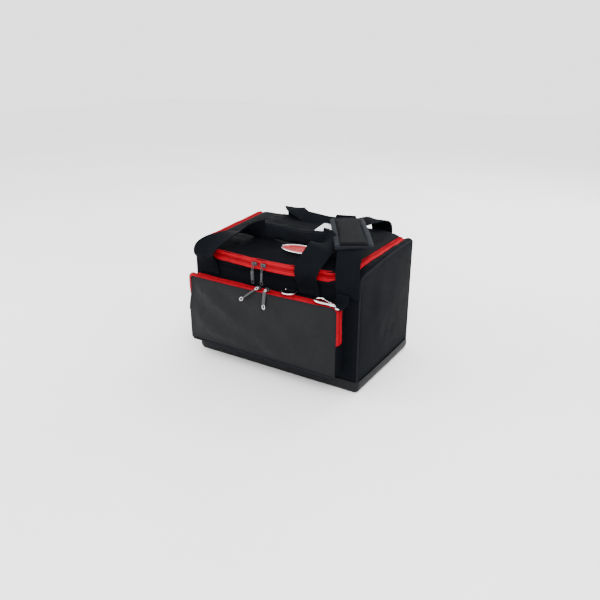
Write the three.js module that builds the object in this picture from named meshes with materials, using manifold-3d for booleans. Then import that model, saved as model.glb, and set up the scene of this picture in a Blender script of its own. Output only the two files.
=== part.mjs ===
// Boxy soft carry bag with a zipped lid, a zipped front pocket, two webbing carry handles
// and a shoulder strap. Millimetres, +Z up, front towards -Y, origin under the base.
import * as THREE from 'three';
import { mergeVertices } from 'three/addons/utils/BufferGeometryUtils.js';
import Module from 'manifold-3d';

const wasm = await Module();
wasm.setup();

// Driving dimensions
const GAP = 0.4;
const BAG_WIDTH = 400;
const BAG_DEPTH = 250;
const WALL = 4;
const PANEL_BOTTOM = 4.4;
const FRONT_TOP = 221;
const REAR_TOP = 238.5;
const END_FRONT_TOP = 243;
const END_REAR_TOP = 259;
const END_CORNER = 16;
const PIPING = 3;

const RIM_MID_Z = 247;
const RIM_SLOPE = THREE.MathUtils.degToRad(4.12);
const LID_CENTRE_X = -3;
const LID_HALF_WIDTH = 183;
const LID_REAR_Y = 112;
const LID_CORNER = 48;
const LID_CORNER_Y = -80;
const BOW_RADIUS = 1017;
const BOW_FRONT_Y = -137;
const TAPE_HEIGHT = 12.3;
const TAPE_THICKNESS = 2.5;
const RIM_PLATE = 3;
const LID_TOP = 19;

const POCKET_LEFT = -194;
const POCKET_RIGHT = 170;
const POCKET_BOTTOM = 42;
const POCKET_TOP = 189;
const POCKET_FRONT_Y = -163.3;
const POCKET_SPLIT_Z = 107;
const POCKET_CORNER = 10;
const POCKET_SKIN = 3;
const FLAP_BOTTOM = 110.5;

const WEBBING = 50;
const WEBBING_THICKNESS = 2.5;
const ANCHOR_THICKNESS = 2.4;
const FRONT_LEGS = [-160, 90];
const REAR_LEGS = [-104, 121];
const GRIP_LEFT = -73;
const GRIP_RIGHT = 91;

const PAD_CENTRE = [121, -18, 297];
const PAD_LENGTH = 208;
const PAD_WIDTH = 72;
const PAD_TURN = THREE.MathUtils.degToRad(122);
const BINDING = 7;
const STRAP_FRONT_X = 179;
const STRAP_REAR_X = 30;
const FRONT_RING_X = 52;

const group = new THREE.Group();
const tilted = new THREE.Group();
tilted.position.set(0, 0, RIM_MID_Z);
tilted.rotation.x = RIM_SLOPE;
group.add(tilted);

const finish = (color, roughness, metalness = 0) =>
  new THREE.MeshStandardMaterial({ color, roughness, metalness });
const FABRIC = finish(0x17181b, 0.75);
const COATED = finish(0x26272a, 0.42);
const TAPE = finish(0xc4121d, 0.6);
const BELT = finish(0x1b1c20, 0.7);
const STEEL = finish(0xc9cacd, 0.25, 1);
const DARK_METAL = finish(0x2a2b2d, 0.35, 1);
const CORD = finish(0x101012, 0.65);
const GREY_EDGE = finish(0x5b5e63, 0.7);
const BOARD = finish(0x303134, 0.6);
const FOAM = finish(0x3a3b3e, 0.9);
const CLEAR = finish(0xe6e8ec, 0.15);
const ENAMEL = finish(0xb3141c, 0.35);

function add(name, geometry, material, parent = group) {
  const mesh = new THREE.Mesh(geometry, material);
  mesh.name = name;
  parent.add(mesh);
  return mesh;
}

// Booleans
function toSolid(geometry) {
  const bare = geometry.clone();
  bare.deleteAttribute('normal');
  bare.deleteAttribute('uv');
  const merged = mergeVertices(bare, 1e-4);
  return new wasm.Manifold(new wasm.Mesh({
    numProp: 3,
    vertProperties: new Float32Array(merged.attributes.position.array),
    triVerts: new Uint32Array(merged.index.array),
  }));
}

function toGeometry(solid) {
  const mesh = solid.getMesh();
  const geometry = new THREE.BufferGeometry();
  geometry.setAttribute('position', new THREE.BufferAttribute(new Float32Array(mesh.vertProperties), 3));
  geometry.setIndex(new THREE.BufferAttribute(new Uint32Array(mesh.triVerts), 1));
  return geometry;
}

const subtract = (body, ...tools) =>
  toGeometry(tools.reduce((left, tool) => left.subtract(toSolid(tool)), toSolid(body)));
const unite = (...bodies) =>
  toGeometry(bodies.map(toSolid).reduce((left, right) => left.add(right)));

// Simple solids
function block(x0, x1, y0, y1, z0, z1) {
  const geometry = new THREE.BoxGeometry(x1 - x0, y1 - y0, z1 - z0);
  return geometry.translate((x0 + x1) / 2, (y0 + y1) / 2, (z0 + z1) / 2);
}

const prism = (shape, depth, curveSegments = 5) =>
  new THREE.ExtrudeGeometry(shape, { depth, bevelEnabled: false, curveSegments });

const X = new THREE.Vector3(1, 0, 0);
const Y = new THREE.Vector3(0, 1, 0);
const Z = new THREE.Vector3(0, 0, 1);

// A shape drawn in (y, z), extruded along +X from x0.
function alongX(shape, x0, width, curveSegments) {
  const turn = new THREE.Matrix4().makeBasis(Y, Z, X);
  return prism(shape, width, curveSegments).applyMatrix4(turn).translate(x0, 0, 0);
}

// A shape drawn in (x, z), extruded towards -Y from yBack.
function towardsFront(shape, yBack, depth) {
  const turn = new THREE.Matrix4().makeBasis(X, Z, Y.clone().negate());
  return prism(shape, depth).applyMatrix4(turn).translate(0, yBack, 0);
}

// The outline of a band of even thickness along a line of [u, v] points.
function bandShape(points, thickness, smooth = true, steps = 14) {
  const places = points.map(([u, v]) => new THREE.Vector3(u, v, 0));
  const curve = new THREE.CatmullRomCurve3(places, false, 'centripetal');
  const line = smooth ? curve.getPoints(steps) : places;
  const offset = (side) => line.map((p, i) => {
    const before = line[Math.max(i - 1, 0)];
    const after = line[Math.min(i + 1, line.length - 1)];
    const along = after.clone().sub(before).normalize();
    return new THREE.Vector2(p.x - side * along.y * thickness / 2, p.y + side * along.x * thickness / 2);
  });
  return new THREE.Shape([...offset(1), ...offset(-1).reverse()]);
}

// Webbing that runs in a vertical plane square to X, leaning sideways between two depths.
function webbing(points, centreX, lean = null, width = WEBBING, thickness = WEBBING_THICKNESS) {
  const geometry = alongX(bandShape(points, thickness), centreX - width / 2, width);
  if (lean) {
    const place = geometry.attributes.position;
    for (let i = 0; i < place.count; i += 1) {
      const value = lean.along === 'y' ? place.getY(i) : place.getZ(i);
      const share = THREE.MathUtils.clamp((value - lean.from) / (lean.to - lean.from), 0, 1);
      place.setX(i, place.getX(i) + lean.shift * share);
    }
  }
  return geometry;
}

function roundedRectangle(x0, y0, x1, y1, radius) {
  const shape = new THREE.Shape();
  shape.moveTo(x0 + radius, y0);
  shape.lineTo(x1 - radius, y0);
  shape.absarc(x1 - radius, y0 + radius, radius, -Math.PI / 2, 0);
  shape.lineTo(x1, y1 - radius);
  shape.absarc(x1 - radius, y1 - radius, radius, 0, Math.PI / 2);
  shape.lineTo(x0 + radius, y1);
  shape.absarc(x0 + radius, y1 - radius, radius, Math.PI / 2, Math.PI);
  shape.lineTo(x0, y0 + radius);
  shape.absarc(x0 + radius, y0 + radius, radius, Math.PI, 1.5 * Math.PI);
  return shape;
}

// Shell: base, walls, piping
function addShell() {
  const halfWidth = BAG_WIDTH / 2;
  const halfDepth = BAG_DEPTH / 2;
  const base = roundedRectangle(-halfWidth, -halfDepth, halfWidth, halfDepth, 6);
  add('base_panel', prism(base, WALL), FABRIC);
  add('base_board', block(-193, 193, -118, 118, PANEL_BOTTOM, PANEL_BOTTOM + 3), BOARD);
  const inner = halfWidth - WALL - GAP;
  add('front_panel', block(-inner, inner, -halfDepth, -halfDepth + WALL, PANEL_BOTTOM, FRONT_TOP), FABRIC);
  add('rear_panel', block(-inner, inner, halfDepth - WALL, halfDepth, PANEL_BOTTOM, REAR_TOP), FABRIC);
  const ends = [
    ['left', -halfWidth, -halfWidth - GAP - PIPING],
    ['right', halfWidth - WALL, halfWidth + GAP],
  ];
  for (const [side, x0, pipeX] of ends) {
    add(`${side}_end_panel`, alongX(endOutline(0), x0, WALL), FABRIC);
    const ring = endOutline(0);
    ring.holes.push(endOutline(3));
    add(`${side}_piping`, alongX(ring, pipeX, PIPING), CORD);
  }
}

// The end panel's outline in (y, z): square at the base, soft at its two top corners.
function endOutline(inset) {
  const half = BAG_DEPTH / 2 - inset;
  const bottom = PANEL_BOTTOM + inset;
  const front = END_FRONT_TOP - inset;
  const rear = END_REAR_TOP - inset;
  const shape = new THREE.Shape();
  shape.moveTo(-half, bottom);
  shape.lineTo(half, bottom);
  shape.lineTo(half, rear - END_CORNER);
  shape.quadraticCurveTo(half, rear, half - END_CORNER, rear);
  shape.quadraticCurveTo(0, (front + rear) / 2 + 5, -half + END_CORNER, front);
  shape.quadraticCurveTo(-half, front, -half, front - END_CORNER);
  shape.closePath();
  return shape;
}

// The lid's outline in the tilted rim plane, bowed at the front, straight along the hinge.
function lidOutline(inset, rearInset = inset) {
  const left = LID_CENTRE_X - LID_HALF_WIDTH;
  const right = LID_CENTRE_X + LID_HALF_WIDTH;
  const bowHalf = Math.asin((LID_HALF_WIDTH - LID_CORNER) / BOW_RADIUS);
  const radius = LID_CORNER - inset;
  const shape = new THREE.Shape();
  shape.moveTo(left + inset, LID_REAR_Y - rearInset);
  shape.lineTo(left + inset, LID_CORNER_Y);
  shape.absarc(left + LID_CORNER, LID_CORNER_Y, radius, Math.PI, 1.5 * Math.PI);
  shape.absarc(LID_CENTRE_X, BOW_FRONT_Y + BOW_RADIUS, BOW_RADIUS - inset,
    1.5 * Math.PI - bowHalf, 1.5 * Math.PI + bowHalf);
  shape.absarc(right - LID_CORNER, LID_CORNER_Y, radius, 1.5 * Math.PI, 2 * Math.PI);
  shape.lineTo(right - inset, LID_REAR_Y - rearInset);
  shape.closePath();
  return shape;
}

const lidPlate = (inset, z0, z1) => prism(lidOutline(inset), z1 - z0, 8).translate(0, 0, z0);

// Zip tape round three sides of the lid, cut off short of the hinge.
function lidTape(z0) {
  const hinge = block(-220, 220, LID_REAR_Y - 4.4, LID_REAR_Y + 10, z0 - 1, z0 + TAPE_HEIGHT + 1);
  const inside = lidPlate(TAPE_THICKNESS, z0 - 1, z0 + TAPE_HEIGHT + 1);
  return subtract(lidPlate(0, z0, z0 + TAPE_HEIGHT), inside, hinge);
}

function addRimAndLid() {
  const bottom = -TAPE_HEIGHT - GAP - RIM_PLATE - 0.3;
  const frame = block(-195.6, 195.6, -124, 124, bottom, bottom + RIM_PLATE);
  const bowed = unite(frame, lidPlate(0, bottom, bottom + RIM_PLATE));
  add('rim_frame', subtract(bowed, lidPlate(RIM_PLATE, bottom - 1, bottom + RIM_PLATE + 1)), FABRIC, tilted);
  add('lid_zip_lower_tape', lidTape(-TAPE_HEIGHT - 0.3), TAPE, tilted);
  add('lid_hinge_gusset', block(-182, 176, 109.5, 116, -TAPE_HEIGHT - 0.3, -0.8), FABRIC, tilted);

  add('lid_zip_upper_tape', lidTape(0.3), TAPE, tilted);
  add('lid_liner', lidPlate(4.5, 4, TAPE_HEIGHT), FOAM, tilted);
  const puffed = new THREE.ExtrudeGeometry(lidOutline(0), {
    depth: 2, bevelThickness: 6, bevelSize: 14, bevelOffset: -14, bevelSegments: 3, curveSegments: 8,
  }).translate(0, 0, LID_TOP - 8);
  const below = block(-250, 250, -200, 200, -20, TAPE_HEIGHT + 0.7);
  add('lid_panel', subtract(puffed, below), FABRIC, tilted);

  const top = LID_TOP + GAP;
  const centrePanel = roundedRectangle(2, -112, 118, 94, 4);
  add('lid_centre_panel', prism(centrePanel, 1.2).translate(0, 0, top), COATED, tilted);
  const badgeTop = top + 1.2 + GAP;
  add('badge_rim', prism(ovalRing(44, 20, 2.6), 2.4, 8).translate(46, -88, badgeTop), STEEL, tilted);
  const plate = new THREE.Shape().absellipse(0, 0, 40.9, 16.9, 0, 2 * Math.PI);
  add('badge_plate', prism(plate, 1.4, 8).translate(46, -88, badgeTop), ENAMEL, tilted);
  add('card_window', prism(roundedRectangle(6, 14, 114, 80, 5), 1).translate(0, 0, badgeTop), CLEAR, tilted);
}

function ovalRing(halfLength, halfWidth, band) {
  const ring = new THREE.Shape().absellipse(0, 0, halfLength, halfWidth, 0, 2 * Math.PI);
  ring.holes.push(new THREE.Path().absellipse(0, 0, halfLength - band, halfWidth - band, 0, 2 * Math.PI));
  return ring;
}

// Front pocket
function pocketFace(bottom, inset) {
  const left = POCKET_LEFT + inset;
  const right = POCKET_RIGHT - inset;
  const top = POCKET_TOP - inset;
  const radius = POCKET_CORNER - inset;
  const shape = new THREE.Shape();
  shape.moveTo(left, bottom);
  shape.lineTo(right, bottom);
  shape.lineTo(right, top - radius);
  shape.absarc(right - radius, top - radius, radius, 0, Math.PI / 2);
  shape.lineTo(left + radius, top);
  shape.absarc(left + radius, top - radius, radius, Math.PI / 2, Math.PI);
  shape.closePath();
  return shape;
}

// The band over the pocket's top and down its two sides, open at the bottom.
function pocketBand(bottom, yBack, depth) {
  const outer = towardsFront(pocketFace(bottom, 0), yBack, depth);
  const hollow = towardsFront(pocketFace(bottom - 5, POCKET_SKIN), yBack + 1, depth + 2);
  return subtract(outer, hollow);
}

function addPocket() {
  const back = -BAG_DEPTH / 2 - GAP;
  const outer = block(POCKET_LEFT, POCKET_RIGHT, POCKET_FRONT_Y, back, POCKET_BOTTOM, POCKET_SPLIT_Z);
  const hollow = block(POCKET_LEFT + POCKET_SKIN, POCKET_RIGHT - POCKET_SKIN,
    POCKET_FRONT_Y + POCKET_SKIN, back + 5, POCKET_BOTTOM + POCKET_SKIN, POCKET_SPLIT_Z + 5);
  add('pocket_tray', subtract(outer, hollow), COATED);
  add('pocket_gusset', pocketBand(POCKET_SPLIT_Z + GAP, back, 10.6), FABRIC);
  add('pocket_zip_inner_tape', pocketBand(POCKET_SPLIT_Z + GAP, -136.4, 12.6), TAPE);
  add('pocket_zip_outer_tape', pocketBand(FLAP_BOTTOM, -149.4, 9.5), TAPE);
  add('pocket_flap', towardsFront(pocketFace(FLAP_BOTTOM, 0), -159.3, 4), COATED);
}

// Zip sliders and their cord pulls
function sliderBody(length, width, height) {
  const body = prism(roundedRectangle(-length / 2, -width / 2, length / 2, width / 2, 2.5), height, 3);
  const bridge = block(-length / 4, length / 4, -1.5, 1.5, height - 0.5, height + 2.2);
  return unite(body, bridge);
}

function addSliders() {
  for (const [side, x] of [['left', -32], ['right', -10]]) {
    const face = BOW_FRONT_Y - 1.4;
    const slider = sliderBody(13, 9, 4.2).rotateX(Math.PI / 2).translate(x, face, 0);
    add(`lid_slider_${side}`, slider, DARK_METAL, tilted);
    add(`lid_pull_${side}`, webbing([[-147, 232], [-149, 215], [-148, 199]], x, null, 6, 2.6), CORD);
  }
  for (const [side, x, shift] of [['left', -14, -36], ['right', 7, 4]]) {
    const slider = sliderBody(13, 9, 3.6).translate(x, -152.5, POCKET_TOP + 1);
    add(`pocket_slider_${side}`, slider, DARK_METAL);
    const route = [[-158.4, 193.4], [-165.8, 190.5], [-166.4, 174], [-166.4, 156]];
    const lean = { along: 'z', from: 190, to: 156, shift };
    add(`pocket_pull_${side}`, webbing(route, x, lean, 6, 2.6), CORD);
  }
}

// Carry handles
function addHandles() {
  const frontRoute = [
    [-130.6, 205],
    [-136, 222],
    [-149.5, 238],
    [-149, 252],
    [-136, 268],
    [-108, 282],
    [-66, 288],
  ];
  const rearRoute = [[130.6, 205], [133, 235], [136, 262], [129, 283], [113, 288], [99, 283]];
  const lowest = 192;
  const highest = 217;
  for (const [index, side] of ['left', 'right'].entries()) {
    const front = FRONT_LEGS[index];
    const rear = REAR_LEGS[index];
    const half = WEBBING / 2;
    const outside = BAG_DEPTH / 2 + GAP;
    const far = outside + ANCHOR_THICKNESS;
    const frontPatch = block(front - half, front + half, -far, -outside, lowest, highest);
    const rearPatch = block(rear - half, rear + half, outside, far, lowest, highest);
    add(`front_handle_anchor_${side}`, frontPatch, BELT);
    add(`rear_handle_anchor_${side}`, rearPatch, BELT);
    const lean = { along: 'y', from: -140, to: -70, shift: side === 'left' ? 62 : -22 };
    add(`front_handle_leg_${side}`, webbing(frontRoute, front, lean), BELT);
    add(`rear_handle_leg_${side}`, webbing(rearRoute, rear), BELT);
  }
  const grip = alongX(roundedRectangle(-61, 265, -50, 303, 5), GRIP_LEFT, GRIP_RIGHT - GRIP_LEFT, 3);
  add('front_grip_wrap', grip, FABRIC);
  const rearGrip = alongX(roundedRectangle(82, 275.3, 97, 280, 2), REAR_LEGS[0] + 20, 185, 3);
  add('rear_handle_grip', rearGrip, BELT);
}

// Shoulder strap with its pad
function addShoulderStrap() {
  const frontRoute = [[-133, 205], [-136.5, 222], [-137.5, 248], [-133, 272], [-118, 289]];
  add('shoulder_strap_front', webbing(frontRoute, STRAP_FRONT_X), BELT);
  const pad = new THREE.Group();
  pad.position.set(...PAD_CENTRE);
  pad.rotation.z = PAD_TURN;
  group.add(pad);
  const halfLength = PAD_LENGTH / 2;
  const halfWidth = PAD_WIDTH / 2;
  const inner = halfWidth - BINDING - GAP;
  add('shoulder_pad', block(-halfLength, halfLength, -inner, inner, -4, 4), FABRIC, pad);
  for (const [side, sign] of [['right', 1], ['left', -1]]) {
    const edge = [sign * halfWidth, sign * (halfWidth - BINDING)].sort((a, b) => a - b);
    add(`pad_binding_${side}`, block(-halfLength, halfLength, edge[0], edge[1], -5, 5), GREY_EDGE, pad);
  }
  const route = [[halfLength + 2, -3], [halfLength + 18, -7], [halfLength + 34, -15]];
  const strap = prism(bandShape(route, WEBBING_THICKNESS, true, 6), WEBBING);
  strap.rotateX(Math.PI / 2).translate(0, WEBBING / 2, 0);
  add('shoulder_strap_over_lid', strap, BELT, pad);
  const x0 = STRAP_REAR_X - WEBBING / 2;
  add('shoulder_strap_rear', block(x0, x0 + WEBBING, 129.4, 131.9, 223, 245), BELT);
  const frame = block(x0 - 5, x0 + WEBBING + 5, 127, 134.4, 227, 238);
  const slot = block(x0 - 1, x0 + WEBBING + 1, 128.4, 133, 220, 245);
  add('strap_adjuster', subtract(frame, slot), CORD);
}

// Snap hooks and rings
const SHANK = [[0, 0], [14, 0], [38, 0], [50, 4], [54, 12], [49, 19], [38, 19.5]];

function hookParts() {
  const hook = prism(bandShape(SHANK, 5, true, 20), 4).translate(0, 0, -2);
  const gate = prism(bandShape([[15, 6.2], [25, 12], [35, 17.4]], 3.4, false), 3).translate(0, 0, -1.5);
  const loop = roundedRectangle(-12, -13, -4, 13, 3);
  loop.holes.push(roundedRectangle(-9.4, -10.4, -6.6, 10.4, 1));
  const barrel = block(-4.5, -0.5, -3, 3, -2, 2);
  const swivel = unite(prism(loop, 4, 3).translate(0, 0, -2), barrel);
  return { hook, gate, swivel };
}

// The swivel turns about the shank, so it takes a quarter turn of its own where it meets the strap.
function addHook(end, matrix, swivelTurn) {
  const parts = hookParts();
  add(`${end}_hook_swivel`, parts.swivel.rotateX(swivelTurn).applyMatrix4(matrix), STEEL);
  add(`${end}_snap_hook`, parts.hook.applyMatrix4(matrix), STEEL);
  add(`${end}_hook_gate`, parts.gate.applyMatrix4(matrix), STEEL);
}

function dRing() {
  const ring = new THREE.Shape();
  ring.moveTo(-17, -2);
  ring.lineTo(17, -2);
  ring.lineTo(17, 8);
  ring.absarc(0, 8, 17, 0, Math.PI);
  ring.closePath();
  const hole = new THREE.Path();
  hole.moveTo(-14, 1);
  hole.lineTo(14, 1);
  hole.lineTo(14, 8);
  hole.absarc(0, 8, 14, 0, Math.PI);
  hole.closePath();
  ring.holes.push(hole);
  return prism(ring, 3, 8).translate(0, 0, -1.5);
}

function ringTab(x, y, z) {
  const loop = roundedRectangle(y - 6, z - 4.2, y + 6, z + 4.2, 2);
  loop.holes.push(roundedRectangle(y - 4.4, z - 2.6, y + 4.4, z + 2.6, 1));
  return alongX(loop, x - 10, 20, 3);
}

function addHardware() {
  const lying = new THREE.Matrix4().makeBasis(X.clone().negate(), Y, Z.clone().negate());
  lying.setPosition(168, -158, 194);
  addHook('front', lying, 0);
  const hanging = new THREE.Matrix4().makeBasis(Z.clone().negate(), Y, X);
  hanging.setPosition(STRAP_REAR_X, 128.8, 209);
  addHook('rear', hanging, Math.PI / 2);

  const frontRing = new THREE.Matrix4().makeBasis(X, Y.clone().negate(), Z.clone().negate());
  frontRing.setPosition(FRONT_RING_X, -132.4, 193.6);
  add('front_d_ring', dRing().applyMatrix4(frontRing), STEEL);
  add('front_ring_tab', ringTab(FRONT_RING_X, -131.9, 193.6), BELT);
  const rearRing = new THREE.Matrix4().makeBasis(X, Z, Y.clone().negate());
  rearRing.setPosition(STRAP_REAR_X, 133.8, 147.5);
  add('rear_d_ring', dRing().applyMatrix4(rearRing), STEEL);
  const rearTab = roundedRectangle(125.6, 142.9, 137.6, 151.1, 2);
  rearTab.holes.push(roundedRectangle(129.6, 144.3, 136.2, 149.7, 1));
  add('rear_ring_tab', alongX(rearTab, STRAP_REAR_X - 10, 20, 3), BELT);
}

addShell();
addRimAndLid();
addPocket();
addSliders();
addHandles();
addShoulderStrap();
addHardware();

export default group;
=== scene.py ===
"""Soft goods, trims and finishes of a boxy zipped carry bag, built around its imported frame."""

import math

import bpy
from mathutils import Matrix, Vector, noise
from mathutils.bvhtree import BVHTree


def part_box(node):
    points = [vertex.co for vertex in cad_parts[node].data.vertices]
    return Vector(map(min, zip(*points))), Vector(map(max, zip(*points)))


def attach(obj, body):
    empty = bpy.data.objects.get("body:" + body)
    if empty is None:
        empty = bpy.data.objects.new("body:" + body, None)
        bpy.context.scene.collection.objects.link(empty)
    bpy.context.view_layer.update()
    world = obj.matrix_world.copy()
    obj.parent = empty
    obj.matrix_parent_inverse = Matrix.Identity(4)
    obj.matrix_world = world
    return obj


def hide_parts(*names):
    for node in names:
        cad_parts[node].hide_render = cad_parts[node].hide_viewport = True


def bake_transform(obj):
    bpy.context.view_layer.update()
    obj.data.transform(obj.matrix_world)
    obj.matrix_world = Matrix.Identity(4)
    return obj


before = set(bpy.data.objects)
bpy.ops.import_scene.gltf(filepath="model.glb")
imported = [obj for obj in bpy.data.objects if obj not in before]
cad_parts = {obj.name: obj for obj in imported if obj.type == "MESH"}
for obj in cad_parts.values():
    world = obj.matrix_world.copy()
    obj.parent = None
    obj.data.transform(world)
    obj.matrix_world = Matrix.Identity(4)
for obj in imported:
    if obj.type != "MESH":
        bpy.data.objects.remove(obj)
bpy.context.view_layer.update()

MM = 0.001

# The bag's plan, and the lid's outline within it.
WALL_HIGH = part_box("base_panel")[1]
HALF_W = WALL_HIGH.x
HALF_D = WALL_HIGH.y
WALL_CORNER = 6 * MM
FOOT_ROUND = 10 * MM
SHELL_THICKNESS = 3 * MM
FRONT_WALL_TOP, REAR_WALL_TOP = 209 * MM, 240 * MM
SHOULDER = 0.86  # share of the wall cloth that stands upright
CORNER_SHARE = 0.316  # share of the zip line from a rear end to a front corner
LID_LOW, LID_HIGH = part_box("lid_zip_upper_tape")
LID_X = (LID_LOW.x + LID_HIGH.x) / 2
LID_HALF = (LID_HIGH.x - LID_LOW.x) / 2
LID_REAR = 112 * MM
LID_CORNER = 48 * MM
LID_CORNER_Y = -80 * MM
BOW_RADIUS = 1017 * MM
BOW_FRONT = -137 * MM
RIM_MID = 247 * MM
RIM_SLOPE = math.radians(4.12)

# The zip band: each tape's width, how far it narrows, leans back and stands up along the sides.
TAPE = 10.8 * MM
TAPE_OVERLAP = 2.5 * MM
NARROW_LEFT, NARROW_RIGHT = 0.10, 0.28
TILT_LEFT, TILT_RIGHT = math.radians(88), math.radians(70)
LIFT_LEFT = 17 * MM
LIFT_RIGHT_FRONT, LIFT_RIGHT_REAR = 19 * MM, 8 * MM
LID_ROLL = 0.035
LID_LIFT = 13 * MM

# The pocket: its box, its crease, and how its zip opens out at the upper left.
POCKET_LOW, POCKET_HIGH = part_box("pocket_gusset")
POCKET_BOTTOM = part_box("pocket_tray")[0].z
POCKET_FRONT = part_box("pocket_flap")[0].y
POCKET_BACK = -HALF_D - 3.5 * MM
POCKET_ZIP_BACK, POCKET_ZIP_FRONT = -136.2 * MM, -161.8 * MM
POCKET_CORNER = 11 * MM
POCKET_FOOT = 5 * MM
POCKET_SAG = 2.2 * MM
FOLD_Z = 108 * MM
FLARE_TOP = 165 * MM
POCKET_GIRTH = 2 * (POCKET_HIGH.z - POCKET_BOTTOM) + (POCKET_HIGH.x - POCKET_LOW.x) - 0.43 * 4 * POCKET_CORNER
CREASE_SHARE = (FOLD_Z - POCKET_BOTTOM) / POCKET_GIRTH
LEFT_FLARE = 9 * MM
LEFT_INSET = 9 * MM

# Webbing, the shoulder pad's place and turn, and the wire of rings and hooks.
WEBBING = 50 * MM
PAD_CENTRE = Vector((121 * MM, -18 * MM, 297 * MM))
PAD_TURN = math.radians(122)
RING_WIRE = 1.6 * MM
HOOK_WIRE = 2.3 * MM
GATE_WIRE = 1.5 * MM
EYE_WIRE = 1.7 * MM


# ---------------------------------------------------------------- camera, light, floor
def set_camera():
    azimuth, elevation, distance = math.radians(31.92), math.radians(21.95), 1.3912
    target = Vector((-0.0105, 0.0, 0.1145))
    back = Vector((
        math.sin(azimuth) * math.cos(elevation),
        -math.cos(azimuth) * math.cos(elevation),
        math.sin(elevation),
    ))
    data = bpy.data.cameras.new("camera")
    data.lens = 36.89
    data.sensor_width = 36
    camera = bpy.data.objects.new("camera", data)
    bpy.context.scene.collection.objects.link(camera)
    camera.location = target + back * distance
    camera.rotation_mode = "QUATERNION"
    camera.rotation_quaternion = (-back).to_track_quat("-Z", "Y")
    bpy.context.scene.camera = camera


def area_light(name, place, aim, size, power):
    data = bpy.data.lights.new(name, "AREA")
    data.shape = "DISK"
    data.size = size
    data.energy = power
    light = bpy.data.objects.new(name, data)
    bpy.context.scene.collection.objects.link(light)
    light.location = place
    light.rotation_mode = "QUATERNION"
    light.rotation_quaternion = (Vector(aim) - Vector(place)).to_track_quat("-Z", "Y")


def set_stage():
    deselect()
    bpy.ops.mesh.primitive_plane_add(size=12, location=(0, 0, -0.0006))
    floor = bpy.context.object
    floor.name = "studio_floor"
    floor.data.materials.append(floor_material())
    world = bpy.data.worlds.new("studio")
    bpy.context.scene.world = world
    world.use_nodes = True
    background = world.node_tree.nodes["Background"]
    background.inputs["Color"].default_value = (1, 1, 1, 1)
    background.inputs["Strength"].default_value = 2.3
    centre = (0, 0, 0.15)
    area_light("key", (1.3, -1.5, 1.9), centre, 1.3, 44)
    area_light("fill", (-1.8, -1.2, 1.1), centre, 1.6, 26)
    area_light("back", (0.3, 1.7, 1.7), centre, 1.4, 40)


# ---------------------------------------------------------------- modelling helpers
def deselect():
    for obj in bpy.context.selected_objects:
        obj.select_set(False)


def activate(obj):
    deselect()
    obj.select_set(True)
    bpy.context.view_layer.objects.active = obj


def apply_modifier(obj, kind, **settings):
    activate(obj)
    modifier = obj.modifiers.new(kind.lower(), kind)
    for key, value in settings.items():
        setattr(modifier, key, value)
    bpy.ops.object.modifier_apply(modifier=modifier.name)


def smooth(obj, angle=40):
    activate(obj)
    bpy.ops.object.shade_smooth_by_angle(angle=math.radians(angle))


def settle(obj):
    """Puts the finished piece's place into its mesh."""
    activate(obj)
    bpy.ops.object.transform_apply(location=True, rotation=True, scale=True)


def finish_piece(obj, name, material, slot, body, *replaced, angle=None):
    """Names, smooths and dresses a piece, fixes it to its body and hides the nodes it stands for."""
    if angle:
        smooth(obj, angle)
    obj.name = name
    obj.data.name = name
    if material:
        obj.data.materials.clear()
        obj.data.materials.append(material)
    settle(obj)
    if body:
        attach(obj, body)
    if replaced:
        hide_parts(*replaced)
    return obj


def cloth_grid(across, along, place, size, thickness=0.0, side=-1.0):
    """A grid of cloth laid by place(u, v), u and v from 0 to 1, with its UV map in metres."""
    deselect()
    bpy.ops.mesh.primitive_grid_add(x_subdivisions=across, y_subdivisions=along, size=1, calc_uvs=True)
    obj = bpy.context.object
    mesh = obj.data
    for loop in mesh.uv_layers.active.data:
        loop.uv = (loop.uv[0] * size[0], loop.uv[1] * size[1])
    for vertex in mesh.vertices:
        u = min(max(vertex.co.x + 0.5, 0), 1)
        v = min(max(vertex.co.y + 0.5, 0), 1)
        vertex.co = place(u, v)
    mesh.update()
    if thickness:
        apply_modifier(obj, "SOLIDIFY", thickness=thickness, offset=side)
    return obj


def close_seams(obj, distance=0.00005):
    activate(obj)
    bpy.ops.object.mode_set(mode="EDIT")
    bpy.ops.mesh.select_all(action="SELECT")
    bpy.ops.mesh.remove_doubles(threshold=distance)
    bpy.ops.mesh.normals_make_consistent(inside=False)
    bpy.ops.object.mode_set(mode="OBJECT")


def tube(points, radius, cyclic=False, sides=3):
    """A round cord or wire through the points, as a closed mesh."""
    data = bpy.data.curves.new("tube", "CURVE")
    data.dimensions = "3D"
    data.resolution_u = 4
    data.bevel_depth = radius
    data.bevel_resolution = sides
    data.use_fill_caps = not cyclic
    spline = data.splines.new("NURBS" if len(points) > 3 else "POLY")
    spline.points.add(len(points) - 1)
    for point, place in zip(spline.points, points):
        point.co = (*place, 1)
    spline.use_cyclic_u = cyclic
    if len(points) > 3:
        spline.order_u = 4
        spline.use_endpoint_u = not cyclic
    obj = bpy.data.objects.new("tube", data)
    bpy.context.scene.collection.objects.link(obj)
    activate(obj)
    bpy.ops.object.convert(target="MESH")
    obj = bpy.context.object
    close_seams(obj)
    smooth(obj)
    return obj


def join(pieces):
    deselect()
    for piece in pieces:
        piece.select_set(True)
    bpy.context.view_layer.objects.active = pieces[0]
    if len(pieces) > 1:
        bpy.ops.object.join()
    return bpy.context.object


def rounded_block(size, bevel, segments=3):
    """A bevelled block at the origin."""
    deselect()
    bpy.ops.mesh.primitive_cube_add(size=1)
    obj = bpy.context.object
    obj.scale = size
    bpy.ops.object.transform_apply(location=False, rotation=False, scale=True)
    bpy.ops.object.mode_set(mode="EDIT")
    bpy.ops.mesh.select_all(action="SELECT")
    bpy.ops.mesh.bevel(offset=bevel, segments=segments, affect="EDGES")
    bpy.ops.object.mode_set(mode="OBJECT")
    smooth(obj, 35)
    return obj


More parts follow.
